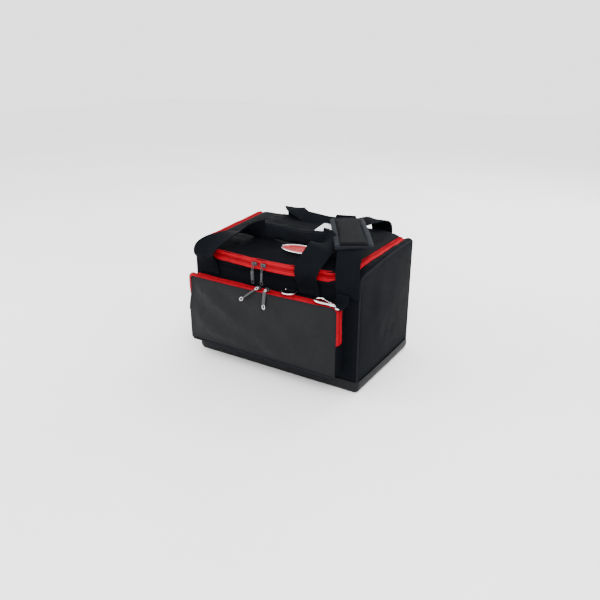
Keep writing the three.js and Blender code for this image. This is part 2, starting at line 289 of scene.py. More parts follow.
def stitches(line, name, body, pitch=4.2 * MM, radius=0.42 * MM, lift=None):
    """A row of sewn thread along a line of points, each stitch a short closed bead."""
    spans = [(a, b, (b - a).length) for a, b in zip(line, line[1:])]
    total = sum(length for _, _, length in spans)
    count = max(int(total / pitch), 2)
    verts, faces = [], []
    travelled, index = 0.0, 0
    for k in range(count):
        wanted = (k + 0.5) * total / count
        while index < len(spans) - 1 and travelled + spans[index][2] < wanted:
            travelled += spans[index][2]
            index += 1
        a, b, length = spans[index]
        centre = a.lerp(b, (wanted - travelled) / max(length, 1e-9)) + (lift or Vector())
        along = (b - a).normalized()
        other = along.orthogonal().normalized()
        third = along.cross(other)
        half = along * pitch * 0.34
        start = len(verts)
        verts.append(centre - half)
        verts.extend(centre + other * (math.cos(t) * radius) + third * (math.sin(t) * radius)
                     for t in (0, math.pi / 2, math.pi, 1.5 * math.pi))
        verts.append(centre + half)
        for i in range(4):
            j = (i + 1) % 4
            faces.append((start, start + 1 + j, start + 1 + i))
            faces.append((start + 5, start + 1 + i, start + 1 + j))
    mesh = bpy.data.meshes.new(name)
    mesh.from_pydata([tuple(v) for v in verts], [], faces)
    obj = bpy.data.objects.new(name, mesh)
    bpy.context.scene.collection.objects.link(obj)
    close_seams(obj, 1e-7)
    return finish_piece(obj, name, THREAD, "webbing", body)


def puff(obj, voxel, pressure, cap):
    """Blows a padded piece up with cloth pressure, held to a small movement."""
    apply_modifier(obj, "REMESH", mode="VOXEL", voxel_size=voxel)
    before = [v.co.copy() for v in obj.data.vertices]
    cloth = obj.modifiers.new("cloth", "CLOTH")
    cloth.settings.use_pressure = True
    cloth.settings.uniform_pressure_force = pressure
    cloth.settings.effector_weights.gravity = 0
    cloth.settings.quality = 4
    cloth.point_cache.frame_start = 1
    cloth.point_cache.frame_end = 20
    for step in range(1, 21):
        bpy.context.scene.frame_set(step)
    activate(obj)
    bpy.ops.object.modifier_apply(modifier="cloth")
    bpy.context.scene.frame_set(1)
    for vertex, start in zip(obj.data.vertices, before):
        move = vertex.co - start
        if move.length > cap:
            vertex.co = start + move * (cap / move.length)


# ---------------------------------------------------------------- materials
def feed(tree, value, socket):
    """Puts a number or another node's output on a socket."""
    if isinstance(value, (int, float)):
        socket.default_value = value
    else:
        tree.links.new(value, socket)


def maths(tree, operation, *values, clamp=False):
    made = tree.nodes.new("ShaderNodeMath")
    made.operation = operation
    made.use_clamp = clamp
    for value, socket in zip(values, made.inputs):
        feed(tree, value, socket)
    return made.outputs[0]


def clouds(tree, scale, detail):
    """Soft noise over the object's own space."""
    place = tree.nodes.new("ShaderNodeTexCoord")
    made = tree.nodes.new("ShaderNodeTexNoise")
    made.inputs["Scale"].default_value = scale
    made.inputs["Detail"].default_value = detail
    tree.links.new(place.outputs["Object"], made.inputs["Vector"])
    return made.outputs["Fac"]


def ranged(tree, value, **ends):
    """Maps a value from one range to another; ends are from_min, from_max, to_min and to_max."""
    made = tree.nodes.new("ShaderNodeMapRange")
    for name, end in ends.items():
        made.inputs[name.replace("_", " ").title()].default_value = end
    tree.links.new(value, made.inputs["Value"])
    return made.outputs[0]


def two_tone(tree, share, given):
    made = tree.nodes.new("ShaderNodeMix")
    made.data_type = "RGBA"
    tree.links.new(share, made.inputs[0])
    tree.links.new(given["Dark"], made.inputs[6])
    tree.links.new(given["Light"], made.inputs[7])
    return made.outputs[2]


def thread(tree, turns):
    """The rounded height of threads, one to each whole turn."""
    return maths(tree, "ABSOLUTE", maths(tree, "SINE", maths(tree, "MULTIPLY", turns, math.pi)))


def separate(tree, vector):
    made = tree.nodes.new("ShaderNodeSeparateXYZ")
    tree.links.new(vector, made.inputs[0])
    return made.outputs["X"], made.outputs["Y"]


def new_group(name, inputs, outputs):
    """An empty shader group with its inputs and outputs."""
    group = bpy.data.node_groups.new(name, "ShaderNodeTree")
    for label, kind, value in inputs:
        socket = group.interface.new_socket(label, in_out="INPUT", socket_type=f"NodeSocket{kind}")
        socket.default_value = value
    for label, kind in outputs:
        group.interface.new_socket(label, in_out="OUTPUT", socket_type=f"NodeSocket{kind}")
    return group, group.nodes.new("NodeGroupInput").outputs, group.nodes.new("NodeGroupOutput").inputs


def weave_group():
    """Plain weave of crossing threads, lighter on their crowns as painted shade between the threads, with slow
    colour drift that is partly dust and partly painted sheen and crease shade, and rubbed high spots.
    """
    group, given, result = new_group(
        "weave",
        [("Vector", "Vector", (0, 0, 0)), ("Thread Pitch", "Float", 0.0007),
         ("Dark", "Color", (0, 0, 0, 1)), ("Light", "Color", (1, 1, 1, 1)),
         ("Drift", "Float", 0.4), ("Wear", "Float", 0.3)],
        [("Color", "Color"), ("Height", "Float"), ("Roughness", "Float")],
    )
    links = group.links
    pitch = group.nodes.new("ShaderNodeCombineXYZ")
    for axis in "XYZ":
        links.new(given["Thread Pitch"], pitch.inputs[axis])
    scale = group.nodes.new("ShaderNodeVectorMath")
    scale.operation = "DIVIDE"
    links.new(given["Vector"], scale.inputs[0])
    links.new(pitch.outputs[0], scale.inputs[1])
    check = group.nodes.new("ShaderNodeTexChecker")
    check.inputs["Scale"].default_value = 1
    links.new(scale.outputs[0], check.inputs["Vector"])
    pick = group.nodes.new("ShaderNodeMix")
    pick.data_type = "FLOAT"
    links.new(check.outputs["Fac"], pick.inputs[0])
    for socket, part in zip((2, 3), separate(group, scale.outputs[0])):
        links.new(thread(group, part), pick.inputs[socket])
    height = pick.outputs[0]
    rub = ranged(group, clouds(group, 420, 2), from_min=0.60, from_max=0.78)
    rubbed = maths(group, "MULTIPLY", rub, given["Wear"])
    # The slow drift is partly dust and partly painted sheen and painted crease shade.
    slow = maths(group, "MULTIPLY_ADD", clouds(group, 14, 5), given["Drift"], rubbed)
    # Thread height lightens the crowns and darkens the gaps: painted shade between threads.
    both = maths(group, "MULTIPLY_ADD", height, 0.45, slow, clamp=True)
    links.new(two_tone(group, both, given), result["Color"])
    links.new(height, result["Height"])
    links.new(ranged(group, both, to_min=0.62, to_max=0.44), result["Roughness"])
    return group


def rib_group():
    """Ribs across and along a band, lighter on the rib crowns as painted shade in the grooves, with a little
    thread to thread variation.
    """
    group, given, result = new_group(
        "ribs",
        [("Vector", "Vector", (0, 0, 0)), ("Across Pitch", "Float", 0.0016), ("Along Pitch", "Float", 0.0011),
         ("Dark", "Color", (0, 0, 0, 1)), ("Light", "Color", (1, 1, 1, 1))],
        [("Color", "Color"), ("Height", "Float")],
    )
    across, along = separate(group, given["Vector"])
    height = maths(
        group, "MULTIPLY",
        thread(group, maths(group, "DIVIDE", across, given["Across Pitch"])),
        thread(group, maths(group, "DIVIDE", along, given["Along Pitch"])),
    )
    # Rib height lightens the crowns and darkens the grooves: painted shade between ribs.
    half = maths(group, "MULTIPLY", height, 0.55)
    blend = maths(group, "MULTIPLY_ADD", clouds(group, 40, 4), 0.6, half, clamp=True)
    group.links.new(two_tone(group, blend, given), result["Color"])
    group.links.new(height, result["Height"])
    return group


WEAVE = weave_group()
RIBS = rib_group()


def blank_material(name):
    material = bpy.data.materials.new(name)
    material.use_nodes = True
    return material, material.node_tree, material.node_tree.nodes["Principled BSDF"]


def add_bump(tree, shader, height, distance, strength=0.6):
    bump = tree.nodes.new("ShaderNodeBump")
    bump.inputs["Distance"].default_value = distance
    bump.inputs["Strength"].default_value = strength
    tree.links.new(height, bump.inputs["Height"])
    tree.links.new(bump.outputs[0], shader.inputs["Normal"])


def use_group(tree, group, dark, light, vector, **values):
    """Puts a shader group in a material, with its two tones and its place."""
    made = tree.nodes.new("ShaderNodeGroup")
    made.node_tree = group
    made.inputs["Dark"].default_value = (*dark, 1)
    made.inputs["Light"].default_value = (*light, 1)
    for name, value in values.items():
        made.inputs[name.replace("_", " ").title()].default_value = value
    tree.links.new(vector, made.inputs["Vector"])
    return made.outputs


def woven(name, dark, light, pitch=0.0008, drift=0.5, wear=0.25, by_uv=True, coat=0.0, gloss=0.008):
    """A woven cloth in two close tones."""
    material, tree, shader = blank_material(name)
    place = tree.nodes.new("ShaderNodeTexCoord")
    vector = place.outputs["UV"]
    if not by_uv:
        turn = tree.nodes.new("ShaderNodeMapping")
        turn.inputs["Rotation"].default_value = (0.7, 0.6, 0.3)
        tree.links.new(place.outputs["Object"], turn.inputs["Vector"])
        vector = turn.outputs["Vector"]
    weave = use_group(tree, WEAVE, dark, light, vector, thread_pitch=pitch, drift=drift, wear=wear)
    tree.links.new(weave["Color"], shader.inputs["Base Color"])
    tree.links.new(weave["Roughness"], shader.inputs["Roughness"])
    add_bump(tree, shader, weave["Height"], 0.00018, 0.5)
    shader.inputs["Sheen Weight"].default_value = 0.001
    shader.inputs["Sheen Roughness"].default_value = 0.4
    shader.inputs["Specular IOR Level"].default_value = gloss
    if coat:
        shader.inputs["Coat Weight"].default_value = coat
        shader.inputs["Coat Roughness"].default_value = 0.38
    return material


def ribbed(name, dark, light, across=0.0016, along=0.0012, sheen=0.001, roughness=0.62):
    """A ribbed band: webbing, zip tape, binding or cord."""
    material, tree, shader = blank_material(name)
    place = tree.nodes.new("ShaderNodeTexCoord")
    ribs = use_group(tree, RIBS, dark, light, place.outputs["UV"], across_pitch=across, along_pitch=along)
    tree.links.new(ribs["Color"], shader.inputs["Base Color"])
    shader.inputs["Roughness"].default_value = roughness
    add_bump(tree, shader, ribs["Height"], 0.0003, 0.7)
    shader.inputs["Sheen Weight"].default_value = sheen
    shader.inputs["Specular IOR Level"].default_value = 0.012
    return material


def speckled(name, dark, light, scale, rough_low, rough_high, metallic=0.0, bump=0.00004):
    """Metal, plastic or paper with fine tone and gloss variation."""
    material, tree, shader = blank_material(name)
    cloud = clouds(tree, scale, 5)
    ramp = tree.nodes.new("ShaderNodeValToRGB")
    for element, colour, position in zip(ramp.color_ramp.elements, (dark, light), (0.35, 0.68)):
        element.color = (*colour, 1)
        element.position = position
    tree.links.new(cloud, ramp.inputs[0])
    tree.links.new(ramp.outputs[0], shader.inputs["Base Color"])
    tree.links.new(ranged(tree, cloud, to_min=rough_low, to_max=rough_high), shader.inputs["Roughness"])
    shader.inputs["Metallic"].default_value = metallic
    add_bump(tree, shader, cloud, bump, 0.4)
    return material


def floor_material():
    material = speckled("studio_paper", (0.93, 0.93, 0.93), (0.96, 0.96, 0.96), 3, 0.8, 0.9)
    shader = material.node_tree.nodes["Principled BSDF"]
    shader.inputs["Specular IOR Level"].default_value = 0.1
    return material


def vinyl_material():
    material = speckled("creased_vinyl", (0.50, 0.51, 0.55), (0.82, 0.83, 0.86), 26, 0.12, 0.3)
    shader = material.node_tree.nodes["Principled BSDF"]
    shader.inputs["Coat Weight"].default_value = 0.8
    shader.inputs["Coat Roughness"].default_value = 0.08
    return material


SHELL_CLOTH = woven("shell_cloth", (0.0017, 0.0020, 0.0028), (0.0049, 0.0057, 0.0074))
LID_CLOTH = woven("lid_cloth", (0.0016, 0.0018, 0.0024), (0.0050, 0.0056, 0.0070))
COATED_CLOTH = woven("coated_cloth", (0.0050, 0.0052, 0.0062), (0.0078, 0.0081, 0.0093), 0.0006, 0.4, 0.12,
                     coat=0.04, gloss=0.07)
PAD_CLOTH = woven("pad_cloth", (0.0016, 0.0020, 0.0025), (0.0042, 0.0050, 0.0060), 0.0010, by_uv=False)
GRIP_CLOTH = woven("grip_wrap_cloth", (0.0015, 0.0018, 0.0024), (0.0068, 0.0078, 0.0100), 0.0009, by_uv=False)
LINING = woven("lining_cloth", (0.012, 0.012, 0.014), (0.032, 0.033, 0.038), 0.0012)
BELT = ribbed("belt_webbing", (0.0010, 0.0013, 0.0018), (0.0053, 0.0062, 0.0084), 0.0018, 0.0013)
RED_TAPE = ribbed("red_tape", (0.15, 0.0014, 0.0046), (0.42, 0.0055, 0.0165), 0.0010, 0.0010, 0.0, 0.6)
RED_COIL = ribbed("red_coil", (0.06, 0.0008, 0.0020), (0.30, 0.0040, 0.0110), 0.0011, 0.004, 0.0, 0.4)
BINDING = ribbed("grey_binding", (0.0060, 0.0070, 0.0085), (0.022, 0.025, 0.030), 0.0012, 0.0012)
PIPING = ribbed("black_piping", (0.004, 0.004, 0.006), (0.016, 0.017, 0.021), 0.0012, 0.0012)
THREAD = ribbed("black_thread", (0.012, 0.012, 0.014), (0.040, 0.042, 0.048), 0.001, 0.001)
NICKEL = speckled("bright_nickel", (0.62, 0.62, 0.64), (0.82, 0.82, 0.84), 300, 0.12, 0.28, 1.0)
BLACK_METAL = speckled("black_zinc", (0.020, 0.020, 0.023), (0.085, 0.085, 0.09), 260, 0.22, 0.42, 0.8)
BLACK_PLASTIC = speckled("black_acetal", (0.010, 0.010, 0.012), (0.030, 0.030, 0.034), 600, 0.38, 0.6)
BOARD = speckled("base_sheet", (0.020, 0.020, 0.022), (0.045, 0.045, 0.05), 700, 0.5, 0.75, bump=0.0002)
ENAMEL = speckled("red_enamel", (0.20, 0.004, 0.006), (0.38, 0.012, 0.018), 120, 0.35, 0.55)
VINYL = vinyl_material()


# ---------------------------------------------------------------- shapes shared by body and lid
def fold(value, low, high):
    """0 below low, 1 above high, smooth between."""
    t = min(max((value - low) / (high - low), 0.0), 1.0)
    return t * t * (3 - 2 * t)


def on_rim(x, y, height):
    """A point of the tilted rim plane, height above it."""
    return Vector((
        x,
        y * math.cos(RIM_SLOPE) - height * math.sin(RIM_SLOPE),
        RIM_MID + y * math.sin(RIM_SLOPE) + height * math.cos(RIM_SLOPE),
    ))


def rim_line(share):
    """The zip's line round the lid, from the left rear (0) over the front (0.5) to the right rear (1).
    Gives x, y and the outward direction in the rim plane."""
    straight = LID_REAR - 5 * MM - LID_CORNER_Y
    arc = LID_CORNER * math.pi / 2
    bow_half = math.asin((LID_HALF - LID_CORNER) / BOW_RADIUS)
    bow = 2 * bow_half * BOW_RADIUS
    length = 2 * (straight + arc) + bow
    s = share * length
    mirrored = s > length / 2
    if mirrored:
        s = length - s
    sign = -1 if not mirrored else 1
    if s <= straight:
        x, y, nx, ny = LID_HALF, LID_REAR - 5 * MM - s, 1.0, 0.0
    elif s <= straight + arc:
        angle = (s - straight) / LID_CORNER
        nx, ny = math.cos(angle), -math.sin(angle)
        x = LID_HALF - LID_CORNER + LID_CORNER * nx
        y = LID_CORNER_Y + LID_CORNER * ny
    else:
        angle = bow_half - (s - straight - arc) / BOW_RADIUS
        nx, ny = math.sin(angle), -math.cos(angle)
        x, y = BOW_RADIUS * nx, BOW_FRONT + BOW_RADIUS + BOW_RADIUS * ny
    return LID_X + sign * x, y, sign * nx, ny


def side_lift(right, y):
    """How far the zip stands above the rim plane along a side."""
    if not right:
        return LIFT_LEFT
    back = min(max((y - LID_CORNER_Y) / (LID_REAR - LID_CORNER_Y), 0), 1)
    return LIFT_RIGHT_FRONT + (LIFT_RIGHT_REAR - LIFT_RIGHT_FRONT) * back


def tape_point(share, up, out=0.0):
    """A point on the zip band: up across it (0 on the parting line), out away from the bag."""
    x, y, nx, ny = rim_line(share)
    side = nx * nx
    tilt = (TILT_RIGHT if nx > 0 else TILT_LEFT) * side
    lift = side_lift(nx > 0, y) * side
    up *= 1 - (NARROW_RIGHT if nx > 0 else NARROW_LEFT) * side
    ripple = 0.6 * MM * math.sin(share * 61) + 0.5 * MM * math.sin(share * 113 + 1)
    reach = -up * math.sin(tilt) + out * math.cos(tilt) + ripple
    height = lift + up * math.cos(tilt) + out * math.sin(tilt)
    return on_rim(x + nx * reach, y + ny * reach, height)


def end_top(y):
    """Height of the end walls' top edge."""
    return (0.2435 + 0.0155 * (y / HALF_D + 1) / 2) + 0.004 * (1 - (y / HALF_D) ** 2)


def soft_noise(point, scale, seed):
    return noise.noise(Vector(point) * scale + Vector((seed, seed * 1.7, -seed)))


def wall_line(turn):
    """The bag's plan outline, turn from 0 to 4 over front, right, rear and left.
    Gives x, y and the outward direction."""
    side = int(turn) % 4
    f = turn - int(turn)
    corners = [(-HALF_W, -HALF_D), (HALF_W, -HALF_D), (HALF_W, HALF_D), (-HALF_W, HALF_D)]
    outward = [(0, -1), (1, 0), (0, 1), (-1, 0)]
    ax, ay = corners[side]
    bx, by = corners[(side + 1) % 4]
    nx, ny = outward[side]
    length = abs(bx - ax) + abs(by - ay)
    near = min(f, 1 - f) * length
    if near >= WALL_CORNER:
        return ax + (bx - ax) * f, ay + (by - ay) * f, nx, ny
    cx, cy = (ax, ay) if f < 0.5 else (bx, by)
    mx, my = outward[(side + (3 if f < 0.5 else 1)) % 4]
    angle = (1 - near / WALL_CORNER) * math.pi / 4
    px, py = nx * math.cos(angle) + mx * math.sin(angle), ny * math.cos(angle) + my * math.sin(angle)
    return cx - WALL_CORNER * (nx + mx - px), cy - WALL_CORNER * (ny + my - py), px, py


def wall_top(turn):
    side = int(turn) % 4
    f = turn - int(turn)
    away = abs(2 * f - 1)
    if side == 0:
        return FRONT_WALL_TOP + (end_top(-HALF_D) - FRONT_WALL_TOP) * away ** 5
    if side == 2:
        return REAR_WALL_TOP + (end_top(HALF_D) - REAR_WALL_TOP) * away ** 6
    return end_top(wall_line(turn)[1])


def rim_share(turn):
    """The place on the zip line for a place on the plan outline; at the rear, the share along the hinge."""
    side = int(turn) % 4
    f = turn - int(turn)
    if side == 0:
        return CORNER_SHARE + (1 - 2 * CORNER_SHARE) * f, None
    if side == 1:
        return 1 - CORNER_SHARE + CORNER_SHARE * f, None
    if side == 3:
        return CORNER_SHARE * f, None
    return None, f


def rim_foot(turn):
    """Where the body cloth meets the lower edge of the zip band."""
    share, rear = rim_share(turn)
    if share is not None:
        return tape_point(share, TAPE_OVERLAP - TAPE, -1.0 * MM)
    start = tape_point(1, TAPE_OVERLAP - TAPE, -1.0 * MM)
    end = tape_point(0, TAPE_OVERLAP - TAPE, -1.0 * MM)
    point = start.lerp(end, rear)
    middle = 1 - abs(2 * rear - 1) ** 10
    hinge = on_rim(point.x, LID_REAR + 2.5 * MM, -1.5 * MM)
    return point.lerp(hinge, middle)


def wall_point(turn, t):
    """A point of the body cloth: t from 0 at the base edge to 1 at the zip band."""
    x, y, nx, ny = wall_line(turn)
    f = turn - int(turn)
    top = wall_top(turn)
    belly = math.sin(math.pi * f) ** 0.7
    if t <= SHOULDER:
        k = t / SHOULDER
        z = top * k
        low = max(1 - z / FOOT_ROUND, 0)
        tuck = 5 * MM * (1 - math.sqrt(1 - low * low))
        side = int(turn) % 4
        depth = (4.0, 5.5, 5.0, 5.5)[side] * MM
        swell = depth * belly * math.sin(math.pi * min(k * 1.02, 1)) ** 0.8
        point = Vector((x + nx * (swell - tuck), y + ny * (swell - tuck), z))
        crease = soft_noise(point, 16, 3 + side) * 2.4 + soft_noise(point, 38, 9 + side) * 0.9
        hold = belly * fold(z, 0.01, 0.05) * (1 - 0.4 * k)
        point.x += nx * crease * MM * hold
        point.y += ny * crease * MM * hold
        return point
    k = (t - SHOULDER) / (1 - SHOULDER)
    start = Vector((x, y, top))
    end = rim_foot(turn)
    point = start.lerp(end, k)
    bulge = math.sin(math.pi * k) * 3.2 * MM
    point.z += bulge * (0.5 + 0.5 * abs(nx))
    point.y += ny * bulge * 0.6
    point.x += nx * bulge * 0.4
    dimple = soft_noise(point, 45, 21) * 2.0 * MM * math.sin(math.pi * k)
    point.z += dimple
    return point


# ---------------------------------------------------------------- body
def build_shell():
    around, up = 240, 44

    def place(u, v):
        return wall_point((u * 4) % 4 if u < 1 else 0, v)

    walls = cloth_grid(around, up, place, (1.3, 0.28))
    close_seams(walls)
    walls.data.materials.append(SHELL_CLOTH)
    walls.data.materials.append(LINING)
    apply_modifier(walls, "SOLIDIFY", thickness=SHELL_THICKNESS, offset=-1, material_offset=1)
    finish_piece(walls, "body_shell", None, "body_fabric", "bag",
                 "front_panel", "rear_panel", "left_end_panel", "right_end_panel", "rim_frame", angle=50)

    def floor_place(u, v):
        x = (u - 0.5) * 2 * (HALF_W - 5 * MM)
        y = (v - 0.5) * 2 * (HALF_D - 5 * MM)
        rise = 0.6 * MM * (1 + soft_noise((x, y, 0), 20, 5)) * fold(min(u, 1 - u, v, 1 - v), 0, 0.03)
        return Vector((x, y, rise))

    base = cloth_grid(60, 40, floor_place, (0.4, 0.25), 2.5 * MM, 1)
    finish_piece(base, "base_cloth", SHELL_CLOTH, "body_fabric", "bag", "base_panel", angle=40)


def build_end_trim(name, sign):
    """The piping round an end wall and the stitched seam inside it."""
    corner = 1 if sign > 0 else 4
    near, far = corner - 1e-6, 2 - 1e-6 if sign > 0 else 3
    ring = [wall_point(near, 0.015 + 0.835 * i / 24) for i in range(25)]
    ring += [wall_point(corner + sign * i / 24, SHOULDER) for i in range(1, 24)]
    ring += [wall_point(far, 0.85 - 0.835 * i / 24) for i in range(25)]
    ring = [Vector((p.x + sign * 0.6 * MM, p.y, max(p.z, 3 * MM))) for p in ring]
    piping = tube(ring, 2.1 * MM, cyclic=True)
    finish_piece(piping, f"{name}_end_piping", PIPING, "piping_cord", "bag", f"{name}_piping")
    middle = 131 * MM
    seam = [Vector((p.x + sign * 1.4 * MM, p.y * 0.966, middle + (p.z - middle) * 0.955)) for p in ring[1:-1]]
    stitches(seam, f"{name}_end_stitches", "bag")


def build_base_band():
    """A doubled strip round the foot of the bag with a few upright joins."""
    def place(u, v):
        turn = (u * 4) % 4 if u < 1 else 0
        nx, ny = wall_line(turn)[2:]
        p = wall_point(turn, (2 + 22 * v) * MM / wall_top(turn) * SHOULDER)
        out = (0.8 + 1.1 * math.sin(math.pi * v)) * MM
        return Vector((p.x + nx * out, p.y + ny * out, p.z))

    band = cloth_grid(260, 6, place, (1.3, 0.021))
    close_seams(band)
    apply_modifier(band, "SOLIDIFY", thickness=1.4 * MM, offset=1)
    finish_piece(band, "foot_band", COATED_CLOTH, "coated_fabric", "bag", angle=40)
    joins = []
    for x in (-0.092, 0.04, 0.128):
        turn = (x + HALF_W) / (2 * HALF_W)
        line = [place(turn / 4, v) + Vector((0, -1.7 * MM, 0)) for v in (0.02, 0.3, 0.6, 0.98)]
        joins.append(tube(line, 0.9 * MM))
    finish_piece(join(joins), "foot_band_joins", PIPING, "coated_fabric", "bag")


# ---------------------------------------------------------------- zip of the lid
def zip_band(name, upward, body, node):
    """One half of the zip: woven tape with a raised coil along the parting line."""
    profile = [(TAPE * 1.02, 0.0), (TAPE * 0.98, 0.5 * MM), (9.2 * MM, 0.6 * MM), (8.9 * MM, 0.25 * MM),
               (8.6 * MM, 0.6 * MM), (4.3 * MM, 0.8 * MM), (3.7 * MM, 0.5 * MM), (3.1 * MM, 1.5 * MM),
               (2.4 * MM, 2.2 * MM), (1.6 * MM, 2.3 * MM), (0.8 * MM, 1.7 * MM), (0.4 * MM, 0.7 * MM)]

    def place(u, v):
        index = v * (len(profile) - 1)
        i = min(int(index + 1e-6), len(profile) - 2)
        k = index - i
        rise = profile[i][0] + (profile[i + 1][0] - profile[i][0]) * k
        out = profile[i][1] + (profile[i + 1][1] - profile[i][1]) * k
        if v > 0.6:
            out += 0.25 * MM * math.cos(u * 620 * math.pi)
        return tape_point(u, upward * rise, out)

    band = cloth_grid(620, len(profile) - 1, place, (0.87, 0.013))
    band.data.materials.append(RED_TAPE)
    band.data.materials.append(RED_COIL)
    for polygon in band.data.polygons:
        v = sum(band.data.uv_layers.active.data[i].uv[1] for i in polygon.loop_indices) / polygon.loop_total
        polygon.material_index = 1 if v / 0.013 > 0.6 else 0
    if upward < 0:
        band.data.flip_normals()
    apply_modifier(band, "SOLIDIFY", thickness=1.2 * MM, offset=-1 if upward < 0 else 1)
    finish_piece(band, name, None, "zip_tape", body, node, angle=30)


# ---------------------------------------------------------------- lid
def lid_place(x_share, y_share, sink=0.0):
    """A point of the lid's top cloth; shares run -1 to 1 across and 0 (hinge) to 1 (front)."""
    rear = LID_REAR - 1 * MM
    y0 = rear + (LID_CORNER_Y - LID_CORNER - rear) * y_share
    half = LID_HALF
    if y0 < LID_CORNER_Y:
        drop = min((LID_CORNER_Y - y0) / LID_CORNER, 1)
        half = LID_HALF - LID_CORNER + LID_CORNER * math.sqrt(max(1 - drop * drop, 0))
    side = 1 - fold(y_share, 0.72, 0.99)
    reach = TAPE * (1 - (NARROW_RIGHT if x_share > 0 else NARROW_LEFT)) - TAPE_OVERLAP
    tilt = TILT_RIGHT if x_share > 0 else TILT_LEFT
    lift = side_lift(x_share > 0, y0)
    half -= reach * math.sin(tilt) * side
    x = half * x_share
    span = LID_HALF - LID_CORNER
    bow = BOW_RADIUS - math.sqrt(BOW_RADIUS ** 2 - min(abs(x), span) ** 2)
    y = y0 - (LID_CORNER_Y - LID_CORNER - BOW_FRONT - bow) * y_share ** 5
    edge_side = half - abs(x)
    edge_front = y - (BOW_FRONT + bow)
    near = abs(x_share) ** 4
    high = lift * near + LID_LIFT * (1 - near) + reach * math.cos(tilt)
    front = TAPE - TAPE_OVERLAP
    rim = front + (high - front) * max(side * near, fold(edge_front, 0.0, 0.05))
    inner = max(min(edge_side, edge_front), 0)
    rim -= 1.0 * MM * math.exp(-inner / (3 * MM))
    y += 1.2 * MM * math.exp(-max(edge_front, 0) / (3 * MM))
    puffed = 3.5 * MM * (1 - math.exp(-inner / (8 * MM)))
    puffed += 2.0 * MM * (1 - x_share ** 2) * fold(edge_front, 0, 0.06)
    creases = soft_noise((x, y, 0), 22, 31) * 3.4 + soft_noise((x, y, 0), 60, 37) * 1.3
    puffed += creases * MM * fold(inner, 0.0, 0.03)
    roll = min(y_share / LID_ROLL, 1)
    height = 1.5 * MM + (rim + puffed - 1.5 * MM) * math.sqrt(1 - (1 - roll) ** 2)
    return on_rim(LID_X + x, y, height - sink)


def surface_tree(*pieces):
    """A search tree of the pieces' faces."""
    points, faces = [], []
    for piece in pieces:
        start = len(points)
        points += [v.co.copy() for v in piece.data.vertices]
        faces += [[start + i for i in polygon.vertices] for polygon in piece.data.polygons]
    return BVHTree.FromPolygons(points, faces)


def on_lid(tree, x, y, lift=0.0):
    """The point of the lid's outer cloth straight below (x, y), raised by lift."""
    place = tree.ray_cast(Vector((x, y, 0.5)), Vector((0, 0, -1)))[0]
    return Vector((x, y, place.z + lift))


def build_lid():
    """The lid's cloths and trims. Gives a search tree of its outer surface."""
    def place(u, v):
        share = LID_ROLL * v / 0.08 if v < 0.08 else LID_ROLL + (1 - LID_ROLL) * (v - 0.08) / 0.92
        return lid_place(2 * u - 1, share)

    top = cloth_grid(120, 96, place, (0.36, 0.25), 3 * MM, -1)
    finish_piece(top, "lid_top", LID_CLOTH, "body_fabric", "lid", "lid_panel", angle=60)

    def patch(u, v):
        x = (4 + 112 * u) * MM - LID_X
        share = 0.06 + 0.885 * v
        at = lid_place(x / LID_HALF * 1.04, share)
        return at + Vector((0, 0, 0.9 * MM))

    panel = cloth_grid(60, 90, patch, (0.112, 0.22), 1.0 * MM, 1)
    finish_piece(panel, "lid_centre_cloth", COATED_CLOTH, "coated_fabric", "lid", "lid_centre_panel",
                 angle=60)
    def along(u, lift, steps, end):
        return [patch(u, v / end) + Vector((0, 0, lift)) for v in range(steps + 1)]

    cords = [tube(along(u, 0.4 * MM, 40, 41.5), 1.4 * MM) for u in (0, 1)]
    finish_piece(join(cords), "lid_seam_cords", PIPING, "piping_cord", "lid")
    stitches(along(0.03, 1.3 * MM, 60, 62.5), "lid_seam_stitches_left", "lid")
    stitches(along(0.97, 1.3 * MM, 60, 62.5), "lid_seam_stitches_right", "lid")
    edge = [tape_point(0.02 + 0.96 * i / 200, TAPE * 1.12, 1.2 * MM) for i in range(201)]
    stitches(edge, "lid_edge_stitches", "lid")

    def underside(u, v):
        return lid_place((2 * u - 1) * 0.97, 0.04 + 0.93 * v, 9 * MM)

    lining = cloth_grid(50, 40, underside, (0.34, 0.24), 3 * MM, -1)
    finish_piece(lining, "lid_lining", LINING, "foam_liner", "lid", "lid_liner", angle=60)
    build_hinge_cloth()
    return surface_tree(panel, top)


def build_hinge_cloth():
    """The strip along the rear where the lid hinges."""
    low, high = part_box("lid_hinge_gusset")

    def hinge(u, v):
        x = low.x + (high.x - low.x) * u
        ripple = 0.5 * MM * math.sin(x * 300) * math.sin(math.pi * v)
        return Vector((x, 0.1165 - 6.5 * MM * v ** 1.5 + ripple, low.z + (high.z + 9 * MM - low.z) * v))

    gusset = cloth_grid(60, 12, hinge, (0.358, 0.022), 1.0 * MM, -1)
    finish_piece(gusset, "lid_hinge_cloth", SHELL_CLOTH, "body_fabric", None, "lid_hinge_gusset",
                 angle=60)
    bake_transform(gusset)


# ---------------------------------------------------------------- pocket
def pocket_outline(share, inset):
    """The pocket's arch from its left foot (0) over the top to its right foot (1), in x and z."""
    left, right = POCKET_LOW.x + inset, POCKET_HIGH.x - inset
    top = POCKET_HIGH.z - inset
    radius = POCKET_CORNER - inset
    low = POCKET_BOTTOM
    upright = top - radius - low
    arc = radius * math.pi / 2
    flat = right - left - 2 * radius
    s = share * (2 * upright + 2 * arc + flat)
    if s < upright:
        return left, low + s, -1.0, 0.0
    s -= upright
    if s < arc:
        nx, nz = -math.cos(s / radius), math.sin(s / radius)
        return left + radius + radius * nx, top - radius + radius * nz, nx, nz
    s -= arc
    if s < flat:
        return left + radius + s, top, 0.0, 1.0
    s -= flat
    if s < arc:
        nx, nz = math.sin(s / radius), math.cos(s / radius)
        return right - radius + radius * nx, top - radius + radius * nz, nx, nz
    s -= arc
    return right, top - radius - s, 1.0, 0.0


def pocket_sag(x):
    """How far the pocket's top edge hangs down at x."""
    return POCKET_SAG * math.sin(math.pi * (x - POCKET_LOW.x) / (POCKET_HIGH.x - POCKET_LOW.x))


